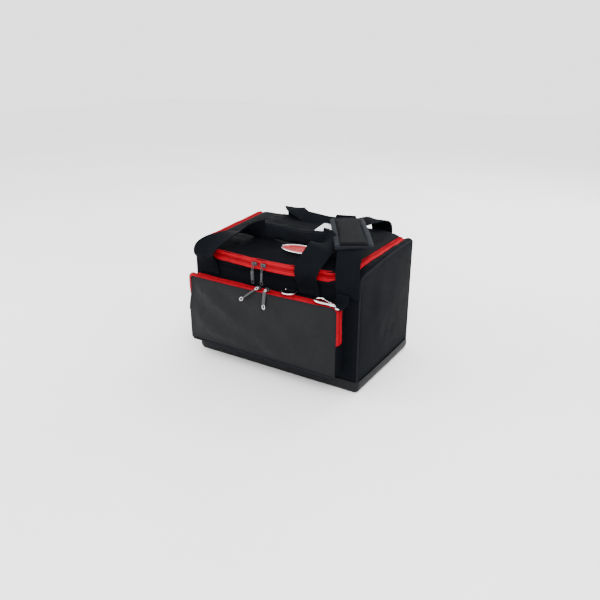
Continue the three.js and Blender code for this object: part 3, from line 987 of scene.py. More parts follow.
def pocket_strip(name, y0, y1, share0, share1, material, slot, body, replaced, coil=0, steps=300):
    """A strip of the pocket's edge between two depths."""
    def place(u, v):
        x, z, nx, nz = pocket_outline(share0 + (share1 - share0) * u, 0.6 * MM)
        y = y0 + (y1 - y0) * v
        rise = 0.5 * MM * math.sin(math.pi * v)
        if coil:
            near = v if coil > 0 else 1 - v
            bump = math.exp(-((near - 0.90) / 0.10) ** 2)
            rise += (1.9 + 0.3 * math.cos(u * steps * math.pi)) * MM * bump
            rise -= 0.5 * MM * math.exp(-((near - 0.42) / 0.05) ** 2)
        sag = pocket_sag(x) * abs(nz)
        if coil and nx < 0:
            inset = LEFT_INSET * (1 - near) if coil < 0 else 0
            rise += (LEFT_FLARE * near ** 1.5 - inset) * -nx * fold(z, FOLD_Z, FLARE_TOP)
        rise += 0.4 * MM * math.sin(u * 40)
        return Vector((x + nx * rise, y, z + nz * rise - sag))

    strip = cloth_grid(steps, 12, place, (0.65, abs(y1 - y0)))
    if coil:
        strip.data.materials.append(RED_TAPE)
        strip.data.materials.append(RED_COIL)
        for polygon in strip.data.polygons:
            uv = strip.data.uv_layers.active.data
            v = sum(uv[i].uv[1] for i in polygon.loop_indices) / polygon.loop_total / abs(y1 - y0)
            near = v if coil > 0 else 1 - v
            polygon.material_index = 1 if near > 0.76 else 0
    apply_modifier(strip, "SOLIDIFY", thickness=1.6 * MM, offset=1)
    finish_piece(strip, name, None if coil else material, slot, body, *replaced, angle=35)


def pocket_face_point(u, v, out=0.0):
    """The pocket's front cloth: u across, v from the bottom (0) to the top (1)."""
    left, right = POCKET_LOW.x + 0.4 * MM, POCKET_HIGH.x - 0.4 * MM
    low, high = POCKET_BOTTOM + 0.5 * MM, POCKET_HIGH.z - 0.4 * MM
    radius = POCKET_CORNER
    z = low + (high - low) * v
    pull = 0.0
    if z > high - radius:
        k = (z - (high - radius)) / radius
        pull = radius - radius * math.sqrt(max(1 - k * k, 0))
    if z < low + POCKET_FOOT:
        k = 1 - (z - low) / POCKET_FOOT
        pull = POCKET_FOOT - POCKET_FOOT * math.sqrt(max(1 - k * k, 0))
    half = (right - left) / 2 - pull
    x = (left + right) / 2 + (2 * u - 1) * half
    x += LEFT_INSET * fold(z, FOLD_Z, FLARE_TOP) * max(1 - 2 * u, 0) ** 3
    sag = POCKET_SAG * math.sin(math.pi * (x - left) / (right - left)) * fold(v, 0.6, 1)
    inside = fold(min(u, 1 - u), 0, 0.10) * fold(min(v, 1 - v), 0, 0.22)
    belly = 4.5 * MM * inside * (0.5 + 0.5 * math.sin(math.pi * u))
    wave = diagonal_creases(x, z)
    return Vector((x, POCKET_FRONT - out - belly - wave * inside, z - sag))


def diagonal_creases(x, z):
    """Long soft creases that run slantwise from the pocket's upper left corner."""
    along = (x + 0.19) * 0.80 - (z - 0.19) * 0.60
    acrossed = (x + 0.19) * 0.60 + (z - 0.19) * 0.80
    fade = math.exp(-(acrossed / 0.10) ** 2)
    long_fold = 2.3 * math.sin(acrossed * 95 + 1.2 * math.sin(along * 22)) * fade
    second = 1.2 * math.sin((x * 0.5 - z) * 70 + 2.0) * fold(x, -0.05, 0.12)
    small = soft_noise((x, 0, z), 24, 51) * 2.4 + soft_noise((x, 0, z), 70, 57) * 0.7
    return (long_fold + second + small) * MM


def build_pocket_edge():
    """The gusset and the two zip tapes, from crease to crease over the top."""
    pocket_strip("pocket_gusset_cloth", POCKET_BACK, POCKET_ZIP_BACK, CREASE_SHARE, 1 - CREASE_SHARE, SHELL_CLOTH,
                 "body_fabric", "bag", ["pocket_gusset"])
    pocket_strip("pocket_zip_inner", POCKET_ZIP_BACK, -149.2 * MM, CREASE_SHARE, 1 - CREASE_SHARE, None,
                 "zip_tape", "bag", ["pocket_zip_inner_tape"], coil=1)
    pocket_strip("pocket_zip_outer", -149.8 * MM, POCKET_ZIP_FRONT, CREASE_SHARE * 1.02,
                 1 - CREASE_SHARE * 1.02, None, "zip_tape", "pocket_door", ["pocket_zip_outer_tape"], coil=-1)


def build_pocket_face():
    face = cloth_grid(150, 80, pocket_face_point, (0.364, 0.147), 2.2 * MM, -1)
    finish_piece(face, "pocket_face", COATED_CLOTH, "coated_fabric", None, "pocket_flap", angle=60)
    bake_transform(face)


def build_pocket_tray():
    """The pocket's bottom and lower sides, up to the crease."""
    def tray(u, v):
        low = POCKET_BOTTOM + 0.6 * MM
        left, right = POCKET_LOW.x + 0.8 * MM, POCKET_HIGH.x - 0.8 * MM
        high = FOLD_Z + 0.5 * MM
        r = POCKET_FOOT
        side = high - low - r
        arc = r * math.pi / 2
        flat = right - left - 2 * r
        s = u * (2 * side + 2 * arc + flat)
        if s < side:
            x, z = left, high - s
        elif s < side + arc:
            a = (s - side) / r
            x, z = left + r - r * math.cos(a), low + r - r * math.sin(a)
        elif s < side + arc + flat:
            x, z = left + r + (s - side - arc), low
        elif s < side + 2 * arc + flat:
            a = (s - side - arc - flat) / r
            x, z = right - r + r * math.sin(a), low + r - r * math.cos(a)
        else:
            x, z = right, low + r + (s - side - 2 * arc - flat)
        y = POCKET_BACK + (POCKET_FRONT + 1.2 * MM - POCKET_BACK) * v
        dent = soft_noise((x, y, z), 40, 61) * 1.2 * MM * math.sin(math.pi * v)
        return Vector((x + (dent if abs(z - low) > r else 0), y, z + (0 if abs(z - low) > r else dent)))

    under = cloth_grid(160, 14, tray, (0.49, 0.036), 2.0 * MM, -1)
    finish_piece(under, "pocket_under_cloth", SHELL_CLOTH, "body_fabric", "bag", "pocket_tray", angle=60)


def build_pocket_trim():
    """Stitches round the front cloth, piping along its foot and a welt along its zip."""
    border = [pocket_face_point(0.012, v) for v in [0.44 + 0.50 * i / 20 for i in range(21)]]
    border += [pocket_face_point(u, 0.965) for u in [0.03 + 0.94 * i / 80 for i in range(81)]]
    border += [pocket_face_point(0.988, v) for v in [0.94 - 0.50 * i / 20 for i in range(21)]]
    stitches([p + Vector((0, -0.5 * MM, 0)) for p in border], "pocket_face_stitches", "pocket_door")
    foot = [pocket_face_point(u, 0.0, 0.6 * MM) for u in [0.002 + 0.996 * i / 60 for i in range(61)]]
    piping = tube(foot, 1.9 * MM)
    finish_piece(piping, "pocket_foot_piping", PIPING, "piping_cord", "bag")
    edge = []
    for i in range(121):
        x, z, nx, nz = pocket_outline(CREASE_SHARE * 1.02 + (1 - 2.04 * CREASE_SHARE) * i / 120, 0)
        sag = pocket_sag(x) * abs(nz)
        if nx < 0:
            x -= LEFT_INSET * nx * fold(z, FOLD_Z, FLARE_TOP)
        edge.append(Vector((x, POCKET_FRONT + 0.6 * MM, z - sag)))
    welt = tube(edge, 1.3 * MM)
    finish_piece(welt, "pocket_face_welt", PIPING, "piping_cord", "pocket_door")


# ---------------------------------------------------------------- straps and handles
def spline_points(points, count):
    """Evenly spread points on a smooth line through the given ones."""
    out = []
    n = len(points)
    for k in range(count + 1):
        t = k / count * (n - 1)
        i = min(int(t), n - 2)
        f = t - i
        p0, p1 = points[max(i - 1, 0)], points[i]
        p2, p3 = points[i + 1], points[min(i + 2, n - 1)]
        out.append(0.5 * ((2 * p1) + (p2 - p0) * f + (2 * p0 - 5 * p1 + 4 * p2 - p3) * f * f
                          + (3 * p1 - p0 - 3 * p2 + p3) * f ** 3))
    return out


def belt(route, width=WEBBING, thickness=2.0 * MM, count=70, cup=0.8 * MM, widths=None):
    """A strap through (point, across-direction) pairs, its width square to the route."""
    centres = spline_points([Vector(p) for p, _ in route], count)
    acrosses = spline_points([Vector(a).normalized() for _, a in route], count)
    length = sum((b - a).length for a, b in zip(centres, centres[1:]))

    def place(u, v):
        k = v * count
        i = min(int(k), count - 1)
        f = k - i
        centre = centres[i].lerp(centres[i + 1], f)
        along = (centres[min(i + 1, count)] - centres[max(i - 1, 0)]).normalized()
        across = acrosses[i].lerp(acrosses[i + 1], f)
        across = (across - along * across.dot(along)).normalized()
        face = along.cross(across).normalized()
        wide = widths[0] + (widths[1] - widths[0]) * fold(v, 0.55, 0.95) if widths else width
        bend = cup * (1 - (2 * u - 1) ** 2)
        selvedge = 0.25 * MM * math.cos(u * 2 * math.pi * 8)
        return centre + across * (u - 0.5) * wide + face * (bend + selvedge * 0.4)

    strap = cloth_grid(24, count, place, (width, length), thickness, 0)
    apply_modifier(strap, "BEVEL", width=0.4 * MM, segments=1, limit_method="ANGLE",
                   angle_limit=math.radians(60))
    smooth(strap, 40)
    return strap


def front_leg(name, x, route):
    """A front handle leg, sewn to the bag behind the pocket and bowed out over the zip to the grip."""
    across = (1, 0, 0)
    foot = [((x, -0.1285, 0.190), across), ((x, -0.1300, 0.204), across), ((x, -0.1370, 0.222), across)]
    leg = belt(foot + route, count=110)
    finish_piece(leg, name, BELT, "webbing", None)
    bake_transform(leg)
    return leg


def middle_x(node):
    low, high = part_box(node)
    return (low.x + high.x) / 2


def build_front_handle():
    grip_low, grip_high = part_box("front_grip_wrap")
    grip_y = (grip_low.y + grip_high.y) / 2
    grip_z = (grip_low.z + grip_high.z) / 2
    left_x, right_x = middle_x("front_handle_anchor_left"), middle_x("front_handle_anchor_right")
    left_leg = front_leg("front_handle_left_strap", left_x, [
        ((left_x + 0.002, -0.1490, 0.238), (1, 0, 0)),
        ((left_x + 0.010, -0.1500, 0.254), (1, 0, 0)),
        ((left_x + 0.026, -0.1360, 0.270), (1, -0.1, 0)),
        ((left_x + 0.044, -0.1080, 0.281), (0.9, -0.3, 0.1)),
        ((left_x + 0.066, -0.0790, 0.285), (0.5, -0.5, 0.5)),
        ((grip_low.x + 0.012, grip_y - 0.004, grip_z), (0, -0.2, 0.95)),
    ])
    right_leg = front_leg("front_handle_right_strap", right_x, [
        ((right_x + 0.002, -0.1460, 0.240), (1, 0, -0.1)),
        ((right_x + 0.009, -0.1475, 0.257), (0.97, 0, -0.2)),
        ((right_x + 0.017, -0.1390, 0.274), (0.94, 0, -0.32)),
        ((right_x + 0.021, -0.1240, 0.287), (0.94, 0.1, -0.3)),
        ((right_x + 0.017, -0.1020, 0.291), (0.85, 0.4, -0.1)),
        ((right_x + 0.007, -0.0760, 0.288), (0.4, 0.6, 0.5)),
        ((grip_high.x - 0.012, grip_y - 0.003, grip_z), (0, 0.2, 0.95)),
    ])
    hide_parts("front_handle_leg_left", "front_handle_anchor_left")
    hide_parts("front_handle_leg_right", "front_handle_anchor_right")
    build_grip(grip_low, grip_high)


def build_grip(low, high):
    """The padded wrap round the two legs, with a stitched line near each long edge."""
    def slump(point):
        """How far the wrap's cloth wanders in depth and height."""
        return soft_noise(point, 30, 71) * 3.4 * MM, soft_noise((point[0], 0, 0), 18, 75) * 4 * MM

    size = high - low
    wrap = rounded_block((size.x, 9 * MM, size.z - 2 * MM), 3 * MM)
    wrap.location = (low + high) / 2
    settle(wrap)
    puff(wrap, 4 * MM, 4, 3 * MM)
    apply_modifier(wrap, "SUBSURF", levels=1)
    for vertex in wrap.data.vertices:
        p = vertex.co
        vertex.co.y += (soft_noise(p, 30, 71) * 3.4 + soft_noise(p, 80, 73)) * MM
        vertex.co.z += slump(p)[1]
    finish_piece(wrap, "front_grip_pad", GRIP_CLOTH, "body_fabric", "front_handle", "front_grip_wrap",
                 angle=70)
    for side, z in (("top", high.z - 5 * MM), ("bottom", low.z + 5 * MM)):
        line = []
        for i in range(41):
            x = low.x + 4 * MM + (size.x - 8 * MM) * i / 40
            depth, height = slump((x, low.y, z))
            line.append(Vector((x, low.y - 1.2 * MM + depth, z + height)))
        stitches(line, f"grip_stitches_{side}", "front_handle")


def build_rear_handle():
    """Two legs over the rear edge that twist and narrow into a hand strap."""
    across = (1, 0, 0)
    for side, inward in (("left", 1), ("right", -1)):
        x = middle_x(f"rear_handle_anchor_{side}")
        turned = Vector((0, inward, 0))
        route = [((x, 0.1295, 0.190), across), ((x, 0.1310, 0.206), across), ((x, 0.1340, 0.235), across),
                 ((x, 0.1365, 0.262), across), ((x + inward * 0.001, 0.1330, 0.281), across),
                 ((x + inward * 0.005, 0.1215, 0.2905), (1, inward * 0.08, 0)),
                 ((x + inward * 0.018, 0.1075, 0.2905), (0.85, inward * 0.50, 0.08 * inward)),
                 ((x + inward * 0.044, 0.0965, 0.2840), turned + Vector((0.2, 0, 0.50 * inward))),
                 ((x + inward * 0.070, 0.0930, 0.2800), turned + Vector((0, 0, 0.60 * inward)))]
        leg = belt(route, count=90, widths=(WEBBING, 30 * MM))
        finish_piece(leg, f"rear_handle_{side}_strap", BELT, "webbing", None,
                     f"rear_handle_leg_{side}", f"rear_handle_anchor_{side}")
        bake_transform(leg)
    low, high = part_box("rear_handle_grip")
    hand_y = (low.y + high.y) / 2 + 3 * MM
    lean = (0, 1, 0.6)
    route = [((low.x + 0.022, hand_y + 2 * MM, 0.2820), lean), ((low.x + 0.055, hand_y, 0.2800), lean),
             ((0.01, hand_y - 2 * MM, 0.2780), lean), ((high.x - 0.055, hand_y, 0.2800), lean),
             ((high.x - 0.022, hand_y + 2 * MM, 0.2820), lean)]
    grip = belt(route, width=33 * MM, thickness=4.4 * MM)
    finish_piece(grip, "rear_handle_hand_strap", BELT, "webbing", "rear_handle", "rear_handle_grip")


def build_anchor_stitches():
    """A sewn square with a cross at the foot of each handle leg."""
    for end, sign in (("front", -1), ("rear", 1)):
        for side in ("left", "right"):
            low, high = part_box(f"{end}_handle_anchor_{side}")
            y = sign * (HALF_D + 4.6 * MM)
            x0, x1 = low.x + 5 * MM, high.x - 5 * MM
            z0, z1 = low.z + 2 * MM, low.z + 9 * MM
            corners = [(x0, z0), (x1, z0), (x1, z1), (x0, z1), (x0, z0), (x1, z1)]
            line = [Vector((x, y, z)) for x, z in corners]
            stitches(line, f"{end}_anchor_stitches_{side}", "bag")


PAD_ALONG = Vector((math.cos(PAD_TURN), math.sin(PAD_TURN), 0))
PAD_ACROSS = Vector((-PAD_ALONG.y, PAD_ALONG.x, 0))
PAD_HALF_LENGTH, PAD_HALF_WIDTH = 104 * MM, 36 * MM


def build_strap_front():
    """The shoulder strap's front end, and the tongue from it to the hook's eye."""
    x = middle_x("shoulder_strap_front")
    across = (1, 0, 0)
    strap = belt([
        ((x, -0.1335, 0.203), across), ((x, -0.1370, 0.222), across), ((x, -0.1385, 0.247), across),
        ((x - 0.001, -0.1350, 0.270), across), ((x - 0.004, -0.1230, 0.287), (0.99, 0.08, 0)),
        ((x - 0.012, -0.1010, 0.2945), (0.93, 0.35, 0)), ((x - 0.026, -0.0760, 0.2950), -PAD_ACROSS),
    ], count=80)
    low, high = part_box("front_hook_swivel")
    bar_x, bar_y = high.x - 0.5 * MM, (low.y + high.y) / 2
    tongue = belt([
        ((bar_x - 0.008, -0.1370, 0.211), (1, 0, 0)), ((bar_x - 0.008, -0.1395, 0.2040), (1, 0.1, 0)),
        ((bar_x - 0.007, -0.1470, 0.1995), (0.9, 0.45, 0)),
        ((bar_x - 0.002, bar_y + 0.001, 0.1975), (0.1, 1, 0)),
        ((bar_x + 0.0028, bar_y, 0.1950), (0, 1, 0)), ((bar_x + 0.0020, bar_y, 0.1910), (0, 1, 0)),
        ((bar_x - 0.0035, bar_y, 0.1905), (0, 1, 0)),
    ], thickness=1.5 * MM, count=60, widths=(26 * MM, 18 * MM))
    finish_piece(tongue, "shoulder_strap_tongue", BELT, "webbing", "lid")
    finish_piece(strap, "shoulder_strap_lower", BELT, "webbing", "lid", "shoulder_strap_front")


def pad_place(s, t, lift):
    """A point of the shoulder pad: s along it and t across it, both -1 to 1."""
    end_curve = 5 * MM * (1 - t * t)
    reach = s * (PAD_HALF_LENGTH - 5 * MM + end_curve)
    droop = 1.5 * MM * (1 - s * s) - 3 * MM * max(-s - 0.5, 0) - 2.5 * MM * t * t
    return PAD_CENTRE + PAD_ALONG * reach + PAD_ACROSS * (t * PAD_HALF_WIDTH) + Vector((0, 0, lift + droop))


def build_shoulder_pad():
    pad = rounded_block((0.196, 0.064, 0.008), 3 * MM)
    for vertex in pad.data.vertices:
        c = vertex.co
        vertex.co = pad_place(c.x / 0.100, c.y / PAD_HALF_WIDTH, c.z)
    puff(pad, 4 * MM, 4, 3 * MM)
    apply_modifier(pad, "SUBSURF", levels=1)
    finish_piece(pad, "shoulder_pad_body", PAD_CLOTH, "body_fabric", "lid", "shoulder_pad", angle=70)
    for name, sign in (("right", 1), ("left", -1)):
        def edge(u, v):
            angle = math.pi * (0.06 + 1.88 * u)
            flat = math.copysign(abs(math.sin(angle)) ** 0.6, math.sin(angle))
            close = 1 - 0.75 * (fold(v, 0.985, 1) + 1 - fold(v, 0, 0.015))
            t = sign * (0.88 - 0.14 * math.cos(angle) * (1 if math.cos(angle) < 0 else close))
            return pad_place(2 * v - 1, t, (4.9 * flat * close + 0.3) * MM)

        trim = cloth_grid(18, 70, edge, (0.018, 0.208), 0.9 * MM, 1)
        finish_piece(trim, f"pad_edge_{name}", BINDING, "pad_edge", "lid", f"pad_binding_{name}",
                     angle=60)
        line = [pad_place(-0.97 + 1.94 * i / 50, sign * 0.79, 5.6 * MM) for i in range(51)]
        stitches(line, f"pad_stitches_{name}", "lid")
    for name, s in (("near", -1), ("far", 1)):
        cap = tube([pad_place(s, t / 8, 0.3 * MM) for t in range(-8, 9)], 3.6 * MM, sides=4)
        finish_piece(cap, f"pad_end_{name}", PIPING, "pad_edge", "lid")


def build_strap_rear():
    """The webbing from the pad over the rear edge, and the tail down to the slide."""
    def beyond(reach, z):
        return Vector((*(PAD_CENTRE + PAD_ALONG * reach).xy, z))

    over = belt([(beyond(0.090, 0.2925), PAD_ACROSS), (beyond(0.106, 0.2960), PAD_ACROSS),
                 (beyond(0.118, 0.2935), PAD_ACROSS), (beyond(0.138, 0.2850), PAD_ACROSS)], count=30)
    finish_piece(over, "shoulder_strap_upper", BELT, "webbing", "lid", "shoulder_strap_over_lid")
    x = middle_x("shoulder_strap_rear")
    across = (1, 0, 0)
    tail = belt([(beyond(0.136, 0.2855), PAD_ACROSS), ((x + 0.006, 0.1230, 0.2760), (1, 0.15, 0)),
                 ((x, 0.1330, 0.2620), across), ((x, 0.1325, 0.2440), across), ((x, 0.1310, 0.2250), across),
                 ((x, 0.1300, 0.2170), across), ((x, 0.1285, 0.2160), across), ((x, 0.1280, 0.2220), across)],
                count=90, thickness=1.8 * MM)
    finish_piece(tail, "shoulder_strap_tail", BELT, "webbing", None, "shoulder_strap_rear")
    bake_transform(tail)


# ---------------------------------------------------------------- zip sliders and pulls
def build_slider(node):
    """A zip slider: a waisted body with rounded ends and a bridge."""
    low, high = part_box(node)
    size, centre = high - low, (low + high) / 2
    if node.startswith("pocket"):
        facing, depth = Vector((0, 0, 1)), size.z
        block = rounded_block((size.x * 0.94, size.y * 0.92, depth * 0.62), 1.4 * MM)
    else:
        facing, depth = Vector((0, -1, 0)), size.y
        block = rounded_block((size.x * 0.94, depth * 0.62, size.z * 0.92), 1.4 * MM)
    block.location = centre - facing * depth * 0.17
    settle(block)
    face = centre + facing * depth * 0.12
    bridge = [face + Vector((x * MM, 0, 0)) + facing * (rise * MM)
              for x, rise in ((-3.6, 0), (-3.2, 1.8), (0, 2.4), (3.2, 1.8), (3.6, 0))]
    slider = join([block, tube(bridge, 0.9 * MM)])
    finish_piece(slider, f"{node}_metal", BLACK_METAL, "dark_metal", node, node)


def loop_about(centre, axis, long, short, radius):
    """An oval wire loop whose long way lies along the axis, facing the front."""
    axis = axis.normalized()
    side = axis.cross(Vector((0, -1, 0))).normalized()
    turns = [2 * math.pi * i / 12 for i in range(12)]
    ring = [centre + axis * (long * math.cos(a)) + side * (short * math.sin(a)) for a in turns]
    return tube(ring, radius, cyclic=True)


def bar_between(start, end, size, bevel, share=1.0):
    """A rounded bar laid between two points, share of the way long."""
    bar = rounded_block((*size, (end - start).length * share), bevel)
    bar.rotation_mode = "QUATERNION"
    bar.rotation_quaternion = (end - start).normalized().to_track_quat("Z", "Y")
    bar.location = (start + end) / 2
    settle(bar)
    return bar


def build_pull(node, route):
    """A pull: a wire bail at the slider, a moulded tab with a rib, and an open oval ring at its tail."""
    line = spline_points([Vector(p) for p in route], 16)
    bail = loop_about(line[1], line[2] - line[0], 3.6 * MM, 2.3 * MM, 0.8 * MM)
    ring = loop_about(line[14], line[-1] - line[12], 4.8 * MM, 3.1 * MM, 0.75 * MM)
    tab = bar_between(line[3], line[13], (6.6 * MM, 3.2 * MM), 1.3 * MM)
    rib = bar_between(line[3], line[13], (2.2 * MM, 4.2 * MM), 0.9 * MM, 0.6)
    wire = NICKEL if node.startswith("pocket") else BLACK_METAL
    for piece, material in ((bail, wire), (ring, wire), (tab, BLACK_PLASTIC), (rib, BLACK_PLASTIC)):
        piece.data.materials.append(material)
    finish_piece(join([tab, rib, bail, ring]), f"{node}_tab", None, "piping_cord", node, node)


PULL_ROUTES = {
    "lid_pull_left": [(-0.032, -0.1465, 0.231), (-0.033, -0.1485, 0.219),
                      (-0.032, -0.1488, 0.208), (-0.031, -0.1485, 0.1995)],
    "lid_pull_right": [(-0.010, -0.1465, 0.231), (-0.009, -0.1485, 0.219),
                       (-0.0105, -0.1488, 0.208), (-0.009, -0.1485, 0.1995)],
    "pocket_pull_left": [(-0.014, -0.1585, 0.1935), (-0.018, -0.1650, 0.1900),
                         (-0.032, -0.1695, 0.178), (-0.052, -0.1705, 0.163)],
    "pocket_pull_right": [(0.007, -0.1585, 0.1935), (0.0075, -0.1655, 0.1890),
                          (0.009, -0.1705, 0.174), (0.0105, -0.1715, 0.157)],
}


def build_sliders():
    for node in PULL_ROUTES:
        build_slider(node.replace("pull", "slider"))
    for node, route in PULL_ROUTES.items():
        build_pull(node, route)


# ---------------------------------------------------------------- rings and hooks
def build_ring(end, body):
    """A D-ring: a straight bar and a half round of wire."""
    low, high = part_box(f"{end}_d_ring")
    centre = (low + high) / 2
    radius = (high.x - low.x) / 2 - RING_WIRE
    if end == "front":
        bar, reach = Vector((centre.x, high.y - 2 * MM, centre.z)), Vector((0, -1, 0))
    else:
        bar, reach = Vector((centre.x, centre.y, low.z + 2 * MM)), Vector((0, 0, 1))
    points = [bar + Vector((-radius + 2 * radius * i / 4, 0, 0)) for i in range(5)]
    for i in range(13):
        a = math.pi * i / 12
        points.append(bar + Vector((radius * math.cos(a), 0, 0)) + reach * (8 * MM + radius * math.sin(a)))
    ring = tube(points, RING_WIRE, cyclic=True, sides=4)
    finish_piece(ring, f"{end}_ring_wire", NICKEL, "bright_metal", body, f"{end}_d_ring")


def build_ring_loop(end):
    """The short loop of webbing that holds a D-ring."""
    low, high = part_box(f"{end}_ring_tab")
    centre = (low + high) / 2
    half_y, half_z = (high.y - low.y) / 2 - 0.6 * MM, (high.z - low.z) / 2 - 0.6 * MM

    def loop(u, v):
        c, s = math.cos(2 * math.pi * v), math.sin(2 * math.pi * v)
        r = (abs(c) ** 4 + abs(s) ** 4) ** -0.25
        return Vector((low.x + (high.x - low.x) * u, centre.y + half_y * r * c, centre.z + half_z * r * s))

    tab = cloth_grid(10, 40, loop, (0.02, 0.035))
    close_seams(tab)
    apply_modifier(tab, "SOLIDIFY", thickness=1.2 * MM, offset=-1)
    finish_piece(tab, f"{end}_ring_loop", BELT, "webbing", "bag", f"{end}_ring_tab", angle=50)


def front_hook_place(s, t, w=0.0):
    """A place on the front hook, which lies along the pocket's top edge."""
    return Vector((0.168 - s * MM, -0.158 + t * MM, 0.194 - w * MM))


def rear_hook_place(s, t, w=0.0):
    """A place on the rear hook, which hangs."""
    return Vector((0.030 + w * MM, 0.1288 + t * MM, 0.209 - s * MM))


# Hook outlines in millimetres: s along the shank from the swivel, t towards the mouth, w across.
SHANK = [(-1, 0), (6, 0), (14, 0), (26, -0.6), (38, -1), (47, 1.5), (52.5, 7), (53, 13), (49, 18), (43, 20),
         (38, 19)]
COLLAR = [(3, 0), (6, 0), (9, 0), (12, 0)]
TIP = [(36, 18.6), (38, 19), (39.5, 19.4), (41, 19.7)]
GATE = [(15, 6.0), (20, 9.2), (28, 13.5), (34.5, 17.2)]
GATE_PIN = [(16.5, 7.2, w) for w in (-2.6, -1, 1, 2.6)]
EYE = [(-3.6, 0), (-3.8, 8), (-4.6, 11.6), (-8, 12.6), (-11, 11.4), (-11.6, 6), (-11.6, 0),
       (-11.6, -6), (-11, -11.4), (-8, -12.6), (-4.6, -11.6), (-3.8, -8)]
EYE_STEM = [(-4.5, 0), (-3, 0), (-2, 0), (0.5, 0)]


def build_hook(end, world, body, eye_body, eye_line):
    """A wire snap hook: the bent hook, its spring gate and its swivel eye."""
    def wire(outline, radius, sides=4, cyclic=False):
        return tube([world(*point) for point in outline], radius, cyclic=cyclic, sides=sides)

    def metal(pieces, name, rides, node):
        finish_piece(join(pieces), f"{end}_{name}", NICKEL, "bright_metal", rides, f"{end}_{node}")

    bent = [wire(SHANK, HOOK_WIRE), wire(COLLAR, 3.6 * MM), wire(TIP, 2.9 * MM)]
    metal(bent, "hook_wire", body, "snap_hook")
    metal([wire(GATE, GATE_WIRE, 3), wire(GATE_PIN, 1.3 * MM, 3)], "gate_wire", f"{end}_gate", "hook_gate")
    swivel = [wire(eye_line, EYE_WIRE, cyclic=True), wire(EYE_STEM, 2.6 * MM)]
    metal(swivel, "swivel_eye", eye_body, "hook_swivel")


def build_hardware():
    build_ring("front", "front_ring")
    build_ring("rear", "bag")
    for end in ("front", "rear"):
        build_ring_loop(end)
    build_hook("front", front_hook_place, "front_hook", "lid", EYE)
    build_hook("rear", rear_hook_place, "bag", "bag", [(s, 0, t) for s, t in EYE])


# ---------------------------------------------------------------- lid trims
def build_badge(lid):
    """An oval badge in a wire rim, laid on the mean slope of the lid below it."""
    low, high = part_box("badge_rim")
    cx, cy = (low.x + high.x) / 2, (low.y + high.y) / 2
    a, b = (high.x - low.x) / 2 - 1.2 * MM, (high.y - low.y) / 2 - 1.2 * MM
    centre = on_lid(lid, cx, cy)
    slope = (on_lid(lid, cx, cy + b * 0.8).z - on_lid(lid, cx, cy - b * 0.8).z) / (1.6 * b)
    tops = [on_lid(lid, cx + a * c, cy + b * d).z - centre.z - b * d * slope
            for c, d in ((0, 0), (0.9, 0), (-0.85, 0), (0, 0.9), (0, -0.9), (0.6, 0.6), (-0.6, 0.6))]
    base = centre.z + sum(tops) / len(tops) + 3.2 * MM

    def surface(x, y, lift):
        return Vector((x, y, base + (y - cy) * slope + lift))

    def face(u, v):
        t = 2 * math.pi * v
        return surface(cx + (a - 0.6 * MM) * u * math.cos(t), cy + (b - 0.6 * MM) * u * math.sin(t),
                       1.6 * MM * (1 - u * u) + 0.3 * MM * math.cos(u * 26))

    turns = [2 * math.pi * i / 40 for i in range(40)]
    ring = [surface(cx + a * math.cos(t), cy + b * math.sin(t), 0.6 * MM) for t in turns]
    rim = tube(ring, 1.3 * MM, cyclic=True)
    finish_piece(rim, "badge_rim_wire", NICKEL, "bright_metal", "lid", "badge_rim")
    plate = cloth_grid(16, 48, face, (0.04, 0.2))
    close_seams(plate)
    apply_modifier(plate, "SOLIDIFY", thickness=1.0 * MM, offset=-1)
    finish_piece(plate, "badge_plate_face", ENAMEL, "badge_enamel", "lid", "badge_plate", angle=50)


def build_window(lid):
    """The clear card window, puckered inside a bound edge."""
    low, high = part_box("card_window")

    def pane(u, v):
        x = low.x + (high.x - low.x) * u
        y = low.y + (high.y - low.y) * v
        z = on_lid(lid, x, y, 0.4 * MM).z
        crease = soft_noise((x, y, 0), 46, 81) * 3.2 + soft_noise((x, y, 0), 110, 83) * 1.2
        edge = fold(min(u, 1 - u, v, 1 - v), 0, 0.15)
        return Vector((x, y, z + (2.6 + crease * 0.7) * MM * edge))

    window = cloth_grid(60, 50, pane, (0.108, 0.066), 0.8 * MM, 1)
    finish_piece(window, "clear_card_window", VINYL, "clear_vinyl", "lid", "card_window", angle=50)
    line = [pane(k / 12, 0) for k in range(12)] + [pane(1, k / 8) for k in range(8)]
    line += [pane(1 - k / 12, 1) for k in range(12)] + [pane(0, 1 - k / 8) for k in range(8)]
    binding = tube(line, 1.7 * MM, cyclic=True)
    finish_piece(binding, "window_binding", PIPING, "piping_cord", "lid")


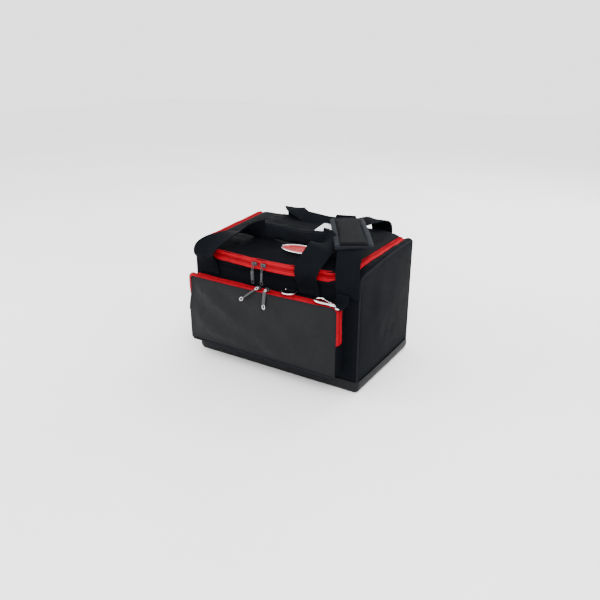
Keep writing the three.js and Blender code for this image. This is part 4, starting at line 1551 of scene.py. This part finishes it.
def build_adjuster():
    """The strap's slide: a bevelled plate with a recessed outer face and a bar across it."""
    low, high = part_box("strap_adjuster")
    size, centre = high - low, (low + high) / 2
    deselect()
    bpy.ops.mesh.primitive_cube_add(size=1)
    plate = bpy.context.object
    plate.scale = (size.x, size.y * 0.8, size.z)
    bpy.ops.object.transform_apply(location=False, rotation=False, scale=True)
    bpy.ops.object.mode_set(mode="EDIT")
    bpy.ops.mesh.select_all(action="SELECT")
    bpy.ops.mesh.bevel(offset=1.6 * MM, segments=3, affect="EDGES")
    bpy.ops.object.mode_set(mode="OBJECT")
    outer = max(plate.data.polygons, key=lambda polygon: polygon.normal.y * polygon.area)
    for polygon in plate.data.polygons:
        polygon.select = polygon.index == outer.index
    bpy.ops.object.mode_set(mode="EDIT")
    bpy.ops.mesh.select_mode(type="FACE")
    bpy.ops.mesh.inset(thickness=1.3 * MM)
    bpy.ops.mesh.extrude_region_move(TRANSFORM_OT_translate={"value": (0, -2.2 * MM, 0)})
    bpy.ops.object.mode_set(mode="OBJECT")
    plate.location = centre
    settle(plate)
    smooth(plate, 35)
    ends = [Vector((x, high.y - 2 * MM, centre.z)) for x in (low.x + 2 * MM, high.x - 2 * MM)]
    finish_piece(join([plate, tube(ends, 1.3 * MM)]), "strap_slide", BLACK_PLASTIC, "black_plastic",
                 "strap_adjuster", "strap_adjuster")


def finish_board():
    """The base board keeps its own shape and gets a worked finish."""
    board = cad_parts["base_board"]
    board.data.materials.clear()
    board.data.materials.append(BOARD)


set_camera()
set_stage()
build_shell()
build_end_trim("left", -1)
build_end_trim("right", 1)
build_base_band()
zip_band("lid_zip_lower", -1, "bag", "lid_zip_lower_tape")
zip_band("lid_zip_upper", 1, "lid", "lid_zip_upper_tape")
lid_surface = build_lid()
build_badge(lid_surface)
build_window(lid_surface)
build_pocket_edge()
build_pocket_face()
build_pocket_tray()
build_pocket_trim()
build_front_handle()
build_rear_handle()
build_anchor_stitches()
build_strap_front()
build_shoulder_pad()
build_strap_rear()
build_sliders()
build_hardware()
build_adjuster()
finish_board()
